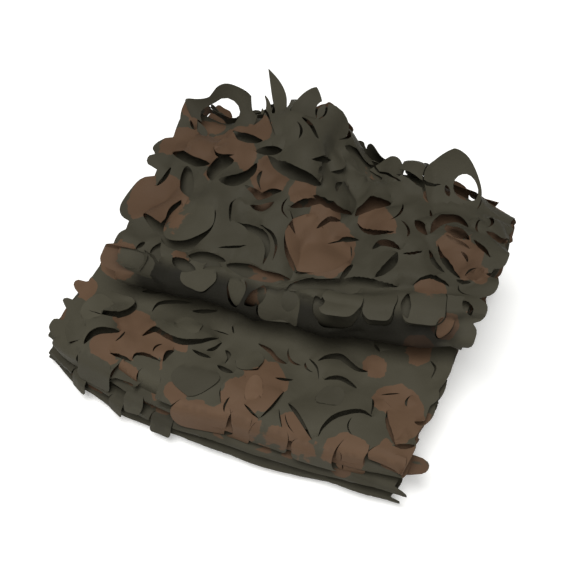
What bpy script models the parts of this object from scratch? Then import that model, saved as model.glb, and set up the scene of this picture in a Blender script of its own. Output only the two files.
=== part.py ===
"""Camouflage net, put away: one long leaf-cut cloth, folded back and forth into a flat stack,
with its last length rolled up flat on the back half of the stack.

Metres, +Z up. X runs along the folds, left to right, -Y is the front and the floor is at Z = 0.
The cloth is drawn flat first: u runs along its length and v across it, so v is X in the stack.
Every leaf is a C-shaped gap cut through the flat cloth, with a tongue left standing inside it.
The flat drawing is then carried onto the folded section and given its thickness.
"""

import math
import random

import bpy
import numpy as np
from mathutils import Vector
from mathutils.bvhtree import BVHTree
from mathutils.geometry import delaunay_2d_cdt

MM = 0.001

# The cloth
SHEET = 2.2 * MM  # coated cloth with its small leaves lying on it
NET_COLOUR = (0.052, 0.052, 0.036, 1.0)
NET_ROUGHNESS = 0.62
SEED = 11

# The flat stack: nine layers, the lowest one level on the floor
STACK_LAYERS = 9
STACK_TOP = 72 * MM  # middle of the uppermost layer
STACK_BACK = 148 * MM
STACK_BEND = 6 * MM  # how far a small fold bulges past the ends of its two layers
FRONT_DROOP = 5 * MM  # the stack's top layer sinks this much towards its front fold
DROOP_LENGTH = 45 * MM
FRONT_WAVE = 3.5 * MM  # each front fold wanders in and out this much
WAVE_LENGTH = 170 * MM
WAVE_SHIFT = 2.4  # from one layer to the next, in radians

# The rolled length on top: levels wound from the outside in, numbered from the lowest one up
ROLL_LEVELS = (6, 0, 5, 1, 4, 2, 3)
ROLL_SEAT = 9 * MM  # from the stack's uppermost layer to the lowest one of the roll
CREASE_TO_NOSE = 20 * MM  # the roll's rounded front reaches this far past the crease under it
NOSE_BEND = 38 * MM
NOSE_INSET = 11 * MM  # each turn lies this much inside the turn around it
BACK_BEND = 28 * MM
BACK_INSET = 7.5 * MM
NOSE_PINCH = 9 * MM  # trough along the roll's front, under the overhanging top layers
NOSE_PINCH_AT = 0.30  # where it lies on the bend, from the top (0) to the bottom (1)
NOSE_PINCH_WIDTH = 0.09

# What changes from left to right. Every row is one cut through the bundle.
SECTION_COLUMNS = ("x", "stack_front", "crease", "roll_back", "top_front", "top_back")
SECTION_ROWS = (
    (-226, -163, -80, 150, 138, 150),
    (-185, -180, -80, 154, 145, 170),
    (-142, -188, -77, 156, 148, 164),
    (-114, -193, -74, 160, 149, 184),
    (-90, -195, -70, 162, 149, 194),
    (-40, -196, -64, 164, 150, 204),
    (8, -194, -62, 162, 150, 202),
    (38, -192, -60, 158, 150, 169),
    (100, -184, -50, 158, 149, 176),
    (160, -178, -27, 154, 148, 168),
    (222, -170, -4, 148, 145, 152),
)

# The layers, lowest first: how far each fold stops short of the bundle's front and back,
# and where its side edges are at its front and at its back
LAYER_COLUMNS = ("front_in", "back_in", "left_front", "left_back", "right_front", "right_back")
LAYER_ROWS = (
    (-5, 3, -228, -212, 190, 200),
    (-3, 0, -230, -217, 193, 203),
    (2, 4, -224, -210, 192, 198),
    (-4, 6, -228, -218, 195, 204),
    (-1, 1, -220, -214, 198, 202),
    (5, 0, -225, -217, 194, 203),
    (3, 5, -218, -210, 200, 206),
    (0, 4, -219, -217, 201, 208),
    (0, 0, -210, -214, 202, 210),
    (0, 0, -170, -189, 214, 219),
    (0, 0, -162, -182, 210, 217),
    (0, 0, -169, -182, 206, 212),
    (0, 0, -173, -187, 210, 214),
    (0, 0, -167, -180, 206, 211),
    (0, 0, -171, -184, 203, 212),
    (26, 0, -168, -182, 206, 211),
)
EDGE_JAG = 8 * MM  # the leaf-cut side edges run in and out this much
EDGE_STEP = 42 * MM

# Loose tabs of the side edges: how far out each one reaches, and its width along the cloth
TAB_COLUMNS = ("side", "piece", "along", "x", "width")
TAB_ROWS = (
    ("left", "roll_top", 0.74, -201, 56),
    ("right", "roll_top", 0.52, 226, 40),
    ("right", "roll_nose", 0.30, 222, 26),
    ("left", "stack_top", 0.42, -226, 40),
    ("right", "stack_5", 0.96, 223, 26),
    ("right", "stack_6", 0.90, 216, 34),
)
TAB_ALONG = (-1.0, -0.7, 0.0, 0.7, 1.0)  # the tab's corners, in halves of its width
TAB_ROUNDING = 2.5 * MM  # the two corners beside the tip lie this much nearer

# Loose places of the outermost layer, pushed outwards: piece, how far along it (0 to 1), x, radius, height
PULL_COLUMNS = ("piece", "along", "x", "radius", "height")
PULL_ROWS = (
    ("roll_top", 0.04, -152, 26, 10),
    ("roll_top", 0.02, -30, 34, 10),
    ("roll_top", 0.03, 96, 20, 9),
    ("roll_top", 0.03, 152, 28, 14),
    ("roll_top", 0.30, -66, 26, 8),
    ("roll_top", 0.36, -140, 24, 7),
    ("roll_top", 0.30, 60, 26, 7),
    ("roll_top", 0.44, 160, 28, 8),
    ("roll_top", 0.62, -20, 26, 7),
    ("roll_top", 0.58, 104, 24, 6),
    ("roll_top", 0.74, -110, 28, 8),
    ("roll_top", 0.84, 40, 24, 6),
    ("roll_nose", 0.42, -100, 22, 6),
    ("roll_nose", 0.46, 70, 24, 6),
    ("roll_back", 0.55, -60, 34, 8),
    ("roll_back", 0.50, 80, 34, 7),
    ("stack_top", 0.12, -170, 34, 6),
    ("stack_top", 0.22, -70, 26, 6),
    ("stack_top", 0.10, 30, 30, 5),
    ("stack_top", 0.20, 128, 28, 6),
)

# The large leaves that stand out, each at its own place. At a turn of 0 the tip points along the cloth,
# which is forwards on the roll's top and backwards on the stack's. A hole leaves a loop of the tongue.
LARGE_COLUMNS = ("piece", "along", "x", "radius", "turn", "lift", "point", "hole")
LARGE_ROWS = (
    ("roll_top", 0.03, -142, 27, 186, 82, 0.45, 0.56),
    ("roll_top", 0.02, -74, 15, 198, 84, 1.9, 0.0),
    ("roll_top", 0.02, -35, 17, 180, 50, 0.6, 0.0),
    ("roll_top", 0.03, 3, 13, 198, 50, 0.8, 0.0),
    ("roll_top", 0.03, 64, 20, 184, 34, 0.3, 0.0),
    ("roll_top", 0.02, 118, 18, 176, 62, 0.8, 0.0),
    ("roll_top", 0.05, 160, 22, 198, 62, 0.1, 0.58),
    ("roll_top", 0.72, 36, 25, 20, 34, 0.1, 0.0),
    ("roll_top", 0.58, 172, 26, -40, 40, 0.2, 0.0),
    ("roll_top", 0.86, -98, 27, 150, 44, 0.0, 0.0),
    ("roll_top", 0.84, -42, 22, 30, 30, 0.1, 0.0),
    ("roll_top", 0.66, -158, 21, -30, 34, 0.3, 0.0),
    ("roll_top", 0.24, -96, 20, 100, 26, 0.4, 0.0),
    ("roll_top", 0.46, -106, 18, 150, 24, 0.3, 0.0),
)

# The other leaves: staggered rows on every layer that shows
LEAF_COLUMNS = ("piece", "from", "to", "rows", "across", "radius", "lift", "swing", "points")
LEAF_ROWS = (
    ("roll_nose", 0.30, 0.64, 2, 9, 17, 28, 40, 6),
    ("roll_top", 0.18, 0.98, 6, 9, 16, 36, 60, 6),
    ("roll_back", 0.28, 0.74, 2, 8, 19, 34, 40, 6),
    ("front_fold_1", 0.50, 0.50, 1, 8, 11, 20, 14, 4),
    ("front_fold_2", 0.50, 0.50, 1, 8, 12, 22, 14, 4),
    ("front_fold_3", 0.50, 0.50, 1, 8, 11, 22, 14, 4),
    ("front_fold_4", 0.50, 0.50, 1, 8, 12, 28, 14, 4),
    ("stack_top", 0.11, 0.24, 2, 9, 18, 30, 60, 6),
    ("back_fold_0", 0.50, 0.50, 1, 5, 12, 24, 14, 4),
    ("back_fold_1", 0.50, 0.50, 1, 5, 12, 24, 14, 4),
    ("back_fold_2", 0.50, 0.50, 1, 5, 12, 24, 14, 4),
    ("back_fold_3", 0.50, 0.50, 1, 5, 12, 24, 14, 4),
)
LEAF_GAP = 5.0 * MM  # widest place of the gap round a tongue
GAP_BLUNTNESS = 0.6  # how fast the gap narrows towards its two ends
LEAF_OPEN = math.radians(110)  # the part of the circle that stays joined to the cloth
HOLE_POINTS = 8
ROW_SHIFT = 0.25  # each row starts this much of the spacing to the left or right
ROW_JITTER = 4 * MM  # along the cloth
PLACE_JITTER = 0.12  # across it, of the spacing
SIZE_JITTER = 0.18
LIFT_JITTER = 0.4
TIP_POINTS = (0.0, 0.0, 0.4)  # how far the tip is drawn out, chosen by lot
LEAF_APART = 3 * MM  # cloth left between two gaps, at least
EDGE_APART = 5 * MM
CLEARING_ROUNDS = 5

# Fineness of the solid
DENSE_RUN = 24
DENSE_BEND = 16
DENSE_X = 49
DENSE_LEFT = -0.244
DENSE_RIGHT = 0.244
COARSE_X = (-0.186, -0.140, -0.092, -0.046, -0.004, 0.034, 0.078, 0.124, 0.170)
HIDDEN_RUN_STEPS = 2
SHOWN_RUN_STEPS = 5
SMALL_BEND_STEPS = 4
INNER_BEND_STEPS = 3
LARGE_BEND_STEPS = 8
POINT_APART = 7 * MM  # the solid's own points keep this far from a gap's rim
ROW_PULL = 2.2 * MM  # a gap's corner this close to a row of the solid moves onto it


def table(columns, rows):
    return [dict(zip(columns, row)) for row in rows]


def clear_scene():
    for thing in list(bpy.data.objects):
        bpy.data.objects.remove(thing, do_unlink=True)


def smooth_between(x, places, values):
    """A curve through the table's values with no corners."""
    slopes = np.gradient(values, places)
    i = np.clip(np.searchsorted(places, x) - 1, 0, len(places) - 2)
    gap = places[i + 1] - places[i]
    t = np.clip((x - places[i]) / gap, 0.0, 1.0)
    start = (2 * t**3 - 3 * t**2 + 1) * values[i] + (t**3 - 2 * t**2 + t) * slopes[i] * gap
    end = (3 * t**2 - 2 * t**3) * values[i + 1] + (t**3 - t**2) * slopes[i + 1] * gap
    return start + end


def ease(t):
    t = np.clip(t, 0.0, 1.0)
    return t * t * (3 - 2 * t)


class Bundle:
    """The folded section: for each x, the line that the cloth follows, as runs and half turns."""

    def __init__(self):
        rows = table(SECTION_COLUMNS, SECTION_ROWS)
        self.places = np.array([row["x"] for row in rows]) * MM
        self.columns = {
            name: np.array([row[name] for row in rows]) * MM for name in SECTION_COLUMNS[1:]
        }
        self.layers = table(LAYER_COLUMNS, LAYER_ROWS)

    def at(self, name, x):
        return smooth_between(x, self.places, self.columns[name])

    def nose_end(self, x):
        """Where the roll's levels stop and its rounded front begins."""
        return self.at("crease", x) - CREASE_TO_NOSE + NOSE_BEND

    def back_end(self, x):
        return self.at("roll_back", x) - BACK_BEND

    def stack_height(self, layer, x, y):
        """The middle of a layer of the flat stack."""
        from_front = y - self.at("stack_front", x)
        droop = FRONT_DROOP * (1 - ease(from_front / DROOP_LENGTH))
        return SHEET / 2 + (STACK_TOP - SHEET / 2 - droop) * layer / (STACK_LAYERS - 1)

    def roll_height(self, level, x, y):
        """The middle of a level of the roll, 0 being the one that lies on the stack."""
        low = self.stack_height(STACK_LAYERS - 1, x, y) + ROLL_SEAT
        nose, back = self.nose_end(x), self.back_end(x)
        share = ease((y - nose) / (back - nose))
        high = self.at("top_front", x) * (1 - share) + self.at("top_back", x) * share
        return low + (high - low) * level / max(ROLL_LEVELS)

    def stack_end(self, layer, x, at_front):
        row = self.layers[layer]
        if at_front:
            wave = FRONT_WAVE * np.sin(2 * math.pi * x / WAVE_LENGTH + WAVE_SHIFT * layer)
            return self.at("stack_front", x) + row["front_in"] * MM + wave + STACK_BEND
        if layer == STACK_LAYERS - 1:
            return self.back_end(x)
        return STACK_BACK - row["back_in"] * MM - STACK_BEND + 0 * x

    def pieces(self):
        """The runs and half turns in order: (name, section line, is a half turn, steps)."""
        made = []
        top = STACK_LAYERS - 1
        for layer in range(STACK_LAYERS):
            at_front = layer % 2 == 0
            if layer:
                name = f"{'front' if at_front else 'back'}_fold_{layer // 2}"
                made.append((name, self.stack_bend(layer, at_front), True, SMALL_BEND_STEPS))
            name = "stack_top" if layer == top else f"stack_{layer}"
            steps = SHOWN_RUN_STEPS if layer == top else HIDDEN_RUN_STEPS
            made.append((name, self.stack_run(layer), False, steps))
        made.append(("roll_back", self.back_bend(None, ROLL_LEVELS[0], 0), True, LARGE_BEND_STEPS))
        for turn, level in enumerate(ROLL_LEVELS):
            forwards = turn % 2 == 0
            name = "roll_top" if turn == 0 else f"roll_{turn}"
            steps = HIDDEN_RUN_STEPS if turn else SHOWN_RUN_STEPS
            made.append((name, self.roll_run(turn, level, forwards), False, steps))
            if turn + 1 == len(ROLL_LEVELS):
                break
            following = ROLL_LEVELS[turn + 1]
            steps = INNER_BEND_STEPS if turn else LARGE_BEND_STEPS
            if forwards:
                name = f"inner_nose_{turn}" if turn else "roll_nose"
                made.append((name, self.nose_bend(level, following, turn // 2), True, steps))
            else:
                bend = self.back_bend(level, following, turn // 2 + 1)
                made.append((f"inner_back_{turn}", bend, True, steps))
        return made

    def stack_run(self, layer):
        def line(x, t):
            start = self.stack_end(layer, x, layer % 2 == 0)
            end = self.stack_end(layer, x, layer % 2 == 1)
            y = start + (end - start) * t
            return y, self.stack_height(layer, x, y)

        return line

    def stack_bend(self, upper, at_front):
        """A half turn between two layers of the stack."""

        def line(x, t):
            start, end = (self.stack_end(layer, x, at_front) for layer in (upper - 1, upper))
            low, high = self.stack_height(upper - 1, x, start), self.stack_height(upper, x, end)
            share = (1 - np.cos(math.pi * t)) / 2
            reach = STACK_BEND * np.sin(math.pi * t) * (-1 if at_front else 1)
            return start + (end - start) * share + reach, low + (high - low) * share

        return line

    def roll_run(self, turn, level, forwards):
        def line(x, t):
            nose = self.nose_end(x) + self.layers[STACK_LAYERS + turn]["front_in"] * MM
            back = self.back_end(x)
            y = back + (nose - back) * t if forwards else nose + (back - nose) * t
            return y, self.roll_height(level, x, y)

        return line

    def back_bend(self, level, following, inset):
        """A half turn at the roll's back. With no level it rises from the stack's uppermost layer."""

        def line(x, t):
            y = self.back_end(x)
            if level is None:
                low = self.stack_height(STACK_LAYERS - 1, x, y)
            else:
                low = self.roll_height(level, x, y)
            high = self.roll_height(following, x, y)
            reach = (BACK_BEND - BACK_INSET * inset) * np.sin(math.pi * t)
            return y + reach, low + (high - low) * (1 - np.cos(math.pi * t)) / 2

        return line

    def nose_bend(self, level, following, inset):
        """A half turn at the roll's front, from an upper level down to a lower one."""

        def line(x, t):
            y = self.nose_end(x)
            high, low = self.roll_height(level, x, y), self.roll_height(following, x, y)
            reach = (NOSE_BEND - NOSE_INSET * inset) * np.sin(math.pi * t)
            if inset == 0:
                reach = reach - NOSE_PINCH * np.exp(-(((t - NOSE_PINCH_AT) / NOSE_PINCH_WIDTH) ** 2))
            return y - reach, high + (low - high) * (1 - np.cos(math.pi * t)) / 2

        return line


class Piece:
    """One run or half turn of the cloth, by the rows of the fine grid that it takes up."""

    def __init__(self, name, is_bend, steps, first, last):
        self.name, self.is_bend, self.steps, self.first, self.last = name, is_bend, steps, first, last

    def coarse_rows(self):
        """The rows that the solid keeps, without the last one, where the next piece starts."""
        return [round(self.first + (self.last - self.first) * k / self.steps) for k in range(self.steps)]


class FlatCloth:
    """The cloth as it was cut, with the way from a flat place (u, v) to the folded bundle."""

    def __init__(self, bundle):
        self.bundle = bundle
        self.v = np.linspace(DENSE_LEFT, DENSE_RIGHT, DENSE_X)
        self.pieces = []
        rows = []
        for name, line, is_bend, steps in bundle.pieces():
            first = max(0, len(rows) - 1)
            count = DENSE_BEND if is_bend else DENSE_RUN
            for t in np.linspace(0, 1, count)[1 if rows else 0 :]:
                y, z = line(self.v, t)
                rows.append(np.stack([self.v, y, z], axis=1))
            self.pieces.append(Piece(name, is_bend, steps, first, len(rows) - 1))
        self.grid = np.array(rows)
        steps = np.linalg.norm(np.diff(self.grid, axis=0), axis=2).mean(axis=1)
        self.u = np.concatenate([[0.0], np.cumsum(steps)])
        self.pull_loose_places()
        self.normal = self.outward()

    def place_on(self, name, along):
        piece = next(piece for piece in self.pieces if piece.name == name)
        start, end = self.u[piece.first], self.u[piece.last]
        return start + (end - start) * along

    def outward(self):
        normal = np.cross(np.gradient(self.grid, axis=1), np.gradient(self.grid, axis=0))
        return normal / np.linalg.norm(normal, axis=2, keepdims=True)

    def pull_loose_places(self):
        for row in table(PULL_COLUMNS, PULL_ROWS):
            u, v = self.place_on(row["piece"], row["along"]), row["x"] * MM
            away = np.hypot(self.u[:, None] - u, self.v[None] - v) / (row["radius"] * MM)
            height = side_of(row["piece"]) * row["height"] * MM * np.exp(-(away**2))
            self.grid += self.outward() * height[..., None]

    def sample(self, field, u, v):
        """Reads a field of the fine grid at flat places."""
        i = np.clip(np.searchsorted(self.u, u) - 1, 0, len(self.u) - 2)
        j = np.clip(np.searchsorted(self.v, v) - 1, 0, len(self.v) - 2)
        a = np.clip((u - self.u[i]) / (self.u[i + 1] - self.u[i]), 0, 1)[:, None]
        b = np.clip((v - self.v[j]) / (self.v[j + 1] - self.v[j]), 0, 1)[:, None]
        low = field[i, j] * (1 - b) + field[i, j + 1] * b
        high = field[i + 1, j] * (1 - b) + field[i + 1, j + 1] * b
        return low * (1 - a) + high * a

    def directions(self, u, v):
        """The directions of u, of v and outwards at one flat place."""
        u, v, step = np.array([u]), np.array([v]), 2 * MM
        normal = self.sample(self.normal, u, v)[0]
        normal /= np.linalg.norm(normal)
        toward_u = (self.sample(self.grid, u + step, v) - self.sample(self.grid, u - step, v))[0]
        toward_u -= normal * (toward_u @ normal)
        toward_u /= np.linalg.norm(toward_u)
        return toward_u, np.cross(toward_u, normal), normal

    def side_edge(self, side, rng):
        """A side edge as flat places: the solid's own rows, with ragged places between them."""
        centres, values = [], []
        runs = [piece for piece in self.pieces if not piece.is_bend]
        for row, piece in zip(self.bundle.layers, runs):
            y = self.grid[[piece.first, piece.last], 0, 1]
            ends = ("front", "back") if y[0] < y[1] else ("back", "front")
            centres += [self.u[piece.first], self.u[piece.last]]
            values += [row[f"{side}_{end}"] * MM for end in ends]
        places = [self.u[row] for piece in self.pieces for row in piece.coarse_rows()] + [self.u[-1]]
        edge = []
        for start, end in zip(places, places[1:]):
            count = max(1, round((end - start) / EDGE_STEP))
            edge += [start + (end - start) * k / count for k in range(count)]
        edge.append(places[-1])
        jag = np.array([rng.uniform(-1, 1) for _ in edge]) * EDGE_JAG
        edge, values = np.array(edge), np.interp(edge, centres, values) + jag
        for row in table(TAB_COLUMNS, TAB_ROWS):
            if row["side"] == side:
                edge, values = self.with_tab(edge, values, row)
        return edge, values

    def with_tab(self, edge, values, row):
        """The side edge with one tab drawn out of it."""
        middle, half = self.place_on(row["piece"], row["along"]), row["width"] * MM / 2
        foot, tip = np.interp([middle - half, middle + half], edge, values), row["x"] * MM
        clear = abs(edge - middle) > half + POINT_APART
        tab_u = middle + half * np.array(TAB_ALONG)
        shoulder = tip - math.copysign(TAB_ROUNDING, tip)
        tab_v = np.array([foot[0], shoulder, tip, shoulder, foot[1]])
        edge, values = np.append(edge[clear], tab_u), np.append(values[clear], tab_v)
        order = np.argsort(edge)
        return edge[order], values[order]


def side_of(piece):
    """Which side of the drawn cloth faces out: its upper one on the stack's front and top."""
    return 1 if piece == "stack_top" or piece.startswith("front") else -1


class Leaf:
    """One C-shaped gap and the tongue inside it. Its tip points along u, turned by turn."""

    def __init__(self, u, v, radius, turn, lift, outward, point=0.0, hole=0.0, points=6):
        self.u, self.v, self.radius, self.turn, self.lift = u, v, radius, turn, lift
        self.outward, self.point, self.hole, self.points = outward, point, hole, points
        self.hinge = -radius * math.cos(LEAF_OPEN / 2)  # from the centre, towards the tip
        self.length = self.rim(0.0) - self.hinge
        self.reach = self.rim(0.0) + LEAF_GAP / 2

    def rim(self, angle):
        """The middle of the gap, from the leaf's centre. A pointed leaf is drawn out towards its tip."""
        return self.radius * (1 + self.point * np.maximum(0.0, np.cos(angle)) ** 3)

    def angles(self):
        """The directions of the gap's corners, from one end of the hinge to the other."""
        sweep = math.pi - LEAF_OPEN / 2
        return [sweep * (2 * k / self.points - 1) for k in range(self.points + 1)]

    def flat(self, angle, distance):
        a = self.turn + angle
        return self.u + distance * math.cos(a), self.v + distance * math.sin(a)

    def gap_outline(self):
        """The gap as a closed line: its outer side from end to end, then the tongue's rim back."""
        steps = list(enumerate(self.angles()))
        line = []
        for side, order in ((1, steps), (-1, steps[-2:0:-1])):
            for k, angle in order:
                half = LEAF_GAP / 2 * abs(math.sin(math.pi * k / self.points)) ** GAP_BLUNTNESS
                line.append(self.flat(angle, self.rim(angle) + side * half))
        return line

    def hole_outline(self):
        turns = (2 * math.pi * k / HOLE_POINTS for k in range(HOLE_POINTS))
        return [self.flat(angle, self.radius * self.hole) for angle in turns]

    def outlines(self):
        return [self.gap_outline()] + ([self.hole_outline()] if self.hole else [])

    def local(self, flat):
        """Flat places measured from the middle of the hinge: towards the tip, and along the hinge."""
        c, s = math.cos(self.turn), math.sin(self.turn)
        du, dv = flat[:, 0] - self.u, flat[:, 1] - self.v
        return du * c + dv * s - self.hinge, -du * s + dv * c

    def holds(self, flat):
        """Which flat places are on the tongue: those inside the line along the middle of the gap."""
        ahead, _ = self.local(flat)
        middle = [self.flat(angle, self.rim(angle)) for angle in self.angles()]
        return (ahead > 1e-6) & inside(flat, middle)

    def stand(self, cloth, flat):
        """Where the tongue's places go: it leaves the cloth at its hinge and curls outwards."""
        ahead, beside = self.local(flat)
        c, s = math.cos(self.turn), math.sin(self.turn)
        foot_u = self.u + self.hinge * c - beside * s
        foot_v = self.v + self.hinge * s + beside * c
        toward_u, toward_v, normal = cloth.directions(*self.flat(0.0, self.hinge))
        curl = math.radians(self.lift) / self.length
        along = (toward_u * c + toward_v * s) * (np.sin(curl * ahead) / curl)[:, None]
        up = normal * (self.outward * (1 - np.cos(curl * ahead)) / curl)[:, None]
        return cloth.sample(cloth.grid, foot_u, foot_v) + along + up


def apart(leaf, other):
    return math.hypot(leaf.u - other.u, leaf.v - other.v) - leaf.reach - other.reach


def lay_leaves(cloth):
    """The large leaves at their places, then the rows of others where there is room."""
    rng = random.Random(SEED)
    leaves = []
    for row in table(LARGE_COLUMNS, LARGE_ROWS):
        u, v = cloth.place_on(row["piece"], row["along"]), row["x"] * MM
        turn, outward = math.radians(row["turn"]), side_of(row["piece"])
        shape = (row["radius"] * MM, turn, row["lift"], outward, row["point"], row["hole"])
        leaves.append(Leaf(u, v, *shape))
    for row in table(LEAF_COLUMNS, LEAF_ROWS):
        layer = LAYER_ROWS[STACK_LAYERS if "roll" in row["piece"] else STACK_LAYERS - 1]
        ends = dict(zip(LAYER_COLUMNS, layer))
        left = max(ends["left_front"], ends["left_back"]) * MM
        right = min(ends["right_front"], ends["right_back"]) * MM
        spacing = (right - left) / row["across"]
        for line in range(row["rows"]):
            along = row["from"] + (row["to"] - row["from"]) * line / max(1, row["rows"] - 1)
            shift = rng.choice((-ROW_SHIFT, ROW_SHIFT))
            for k in range(row["across"]):
                u = cloth.place_on(row["piece"], along) + rng.uniform(-1, 1) * ROW_JITTER
                v = left + spacing * (k + 0.5 + shift + rng.uniform(-1, 1) * PLACE_JITTER)
                radius = row["radius"] * MM * (1 + rng.uniform(-1, 1) * SIZE_JITTER)
                turn = rng.choice((0.0, math.pi)) + math.radians(rng.uniform(-1, 1) * row["swing"])
                lift = row["lift"] * (1 + rng.uniform(-1, 1) * LIFT_JITTER)
                point = rng.choice(TIP_POINTS) if row["points"] > 4 else 0.0
                leaf = Leaf(u, v, radius, turn, lift, side_of(row["piece"]), point, 0.0, row["points"])
                outside = v - leaf.reach < left + EDGE_APART or v + leaf.reach > right - EDGE_APART
                if not outside and all(apart(leaf, other) > LEAF_APART for other in leaves):
                    leaves.append(leaf)
    return leaves


def inside(places, outline):
    """Which flat places lie in the outline."""
    outline = np.asarray(outline)
    x, y = places[:, 0][:, None], places[:, 1][:, None]
    (x0, y0), (x1, y1) = outline.T[:, None], np.roll(outline, -1, axis=0).T[:, None]
    crosses = (y0 > y) != (y1 > y)
    at = x0 + (y - y0) * (x1 - x0) / np.where(crosses, y1 - y0, 1.0)
    return (crosses & (x < at)).sum(axis=1) % 2 == 1


def moved_to_rows(line, rows):
    """A gap's outline with each corner that is close to a row of the solid moved onto that row."""
    moved = []
    for u, v in line:
        row = rows[np.argmin(abs(rows - u))]
        moved.append((row if abs(row - u) < ROW_PULL else u, v))
    return moved


def draw_flat(cloth, leaves):
    """The flat cloth as triangles with its gaps left out: (flat places, triangles)."""
    rng = random.Random(SEED)
    left, right = cloth.side_edge("left", rng), cloth.side_edge("right", rng)
    outline = list(zip(*left)) + list(zip(*right))[::-1]
    points, edges = [], []

    def add_line(line, closed):
        first = len(points)
        points.extend(line)
        edges.extend((first + k, first + k + 1) for k in range(len(line) - 1))
        if closed:
            edges.append((first + len(line) - 1, first))

    add_line(outline, True)
    rows = np.array([cloth.u[row] for piece in cloth.pieces for row in piece.coarse_rows()])
    gaps = [[moved_to_rows(line, rows) for line in leaf.outlines()] for leaf in leaves]
    for lines in gaps:
        for line in lines:
            add_line(line, True)
    centres = np.array([(leaf.u, leaf.v) for leaf in leaves])
    radii = np.array([leaf.radius for leaf in leaves])
    for piece in cloth.pieces:
        for k, row in enumerate(piece.coarse_rows()):
            u = cloth.u[row]
            if piece.is_bend or k == 0:
                ends = [(u, np.interp(u, *edge)) for edge in (left, right)]
                add_line(ends[:1] + [(u, v) for v in COARSE_X] + ends[1:], False)
                continue
            for v in COARSE_X if piece.steps > HIDDEN_RUN_STEPS else COARSE_X[::2]:
                from_rims = abs(np.hypot(*(centres - (u, v)).T) - radii)
                if from_rims.min() > POINT_APART:
                    points.append((u, v))

    places, _, faces, *_ = delaunay_2d_cdt([Vector(p) for p in points], edges, [], 0, 1e-6, False)
    places, faces = np.array([p[:] for p in places]), np.array(faces)
    middle = places[faces].mean(axis=1)
    keep = inside(middle, outline)
    for leaf, lines in zip(leaves, gaps):
        near = np.nonzero(np.hypot(middle[:, 0] - leaf.u, middle[:, 1] - leaf.v) < leaf.reach)[0]
        for line in lines:
            keep[near[inside(middle[near], line)]] = False
    used, index = np.unique(faces[keep], return_inverse=True)
    return places[used], index.reshape(-1, 3)


def fold_up(cloth, leaves, flat):
    """The folded place of each flat one, and the leaf whose tongue it is on, or -1."""
    folded = cloth.sample(cloth.grid, flat[:, 0], flat[:, 1])
    owner = np.full(len(flat), -1)
    for index, leaf in enumerate(leaves):
        on_tongue = leaf.holds(flat)
        if on_tongue.any():
            folded[on_tongue] = leaf.stand(cloth, flat[on_tongue])
            owner[on_tongue] = index
    return folded, owner


def leaves_that_cross(net, owner):
    """The leaves whose tongues pass through other cloth once it has its thickness."""
    graph = bpy.context.evaluated_depsgraph_get()
    solid = net.evaluated_get(graph).to_mesh()
    corners = [corner.co[:] for corner in solid.vertices]
    faces = [tuple(face.vertices) for face in solid.polygons]
    tree = BVHTree.FromPolygons(corners, faces)
    found, plain = set(), 0
    for a, b in tree.overlap(tree):
        if a < b and not set(faces[a]) & set(faces[b]):
            owners = {int(owner[k % len(owner)]) for k in faces[a] + faces[b]} - {-1}
            found |= owners
            plain += not owners
    net.evaluated_get(graph).to_mesh_clear()
    return found, plain


def lowered_or_left_out(leaves, found, lowered):
    """Leaves that cross other cloth stand up half as far, and the second time they stay uncut."""
    kept = []
    for index, leaf in enumerate(leaves):
        if index in found:
            if leaf in lowered:
                continue
            leaf.lift *= 0.5
            lowered.add(leaf)
        kept.append(leaf)
    return kept


def net_material():
    material = bpy.data.materials.new("coated_cloth")
    material.use_nodes = True
    shader = material.node_tree.nodes["Principled BSDF"]
    shader.inputs["Base Color"].default_value = NET_COLOUR
    shader.inputs["Roughness"].default_value = NET_ROUGHNESS
    shader.inputs["Metallic"].default_value = 0.0
    return material


def make_net(collection):
    cloth = FlatCloth(Bundle())
    leaves = lay_leaves(cloth)
    net = bpy.data.objects.new("camouflage_net", bpy.data.meshes.new("camouflage_net"))
    collection.objects.link(net)
    thickness = net.modifiers.new("cloth_thickness", "SOLIDIFY")
    thickness.thickness = SHEET
    thickness.offset = 0.0
    lowered = set()
    for _ in range(CLEARING_ROUNDS):
        flat, faces = draw_flat(cloth, leaves)
        folded, owner = fold_up(cloth, leaves, flat)
        net.data.clear_geometry()
        net.data.from_pydata(folded.tolist(), [], faces.tolist())
        found, plain = leaves_that_cross(net, owner)
        print(f"{len(leaves)} leaves, {len(found)} of them cross, {plain} crossings of plain cloth")
        if not found:
            break
        leaves = lowered_or_left_out(leaves, found, lowered)
    net.data.materials.append(net_material())
    print(f"cloth {cloth.u[-1]:.2f} m long")


def main():
    clear_scene()
    collection = bpy.data.collections.new("camouflage_net")
    bpy.context.scene.collection.children.link(collection)
    make_net(collection)


main()
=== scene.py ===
# %% [markdown]
# # A camouflage net, put away
#
# The real net is taken to be one long cloth, a thin coated polyester printed in olive green and
# earth brown. Leaf-shaped cuts are punched all over it, and each leaf stays joined to the cloth
# at its foot. The length is folded back and forth into a flat stack, and its last length is
# rolled up flat on the back half. How the layers lie where the photo hides them is a guess.
#
# A cloth like this could be simulated, but sixteen layers with hundreds of cuts would be slow
# and hard to aim at a photo, so that wasn't tried. It is made the way a maker would: drawn flat,
# cut flat, and then folded by a rule that says where each flat place ends up.

# %% The frame
import math
import random

import bpy
import numpy as np
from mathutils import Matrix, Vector, noise
from mathutils.bvhtree import BVHTree
from mathutils.geometry import delaunay_2d_cdt
from mathutils.kdtree import KDTree


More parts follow.
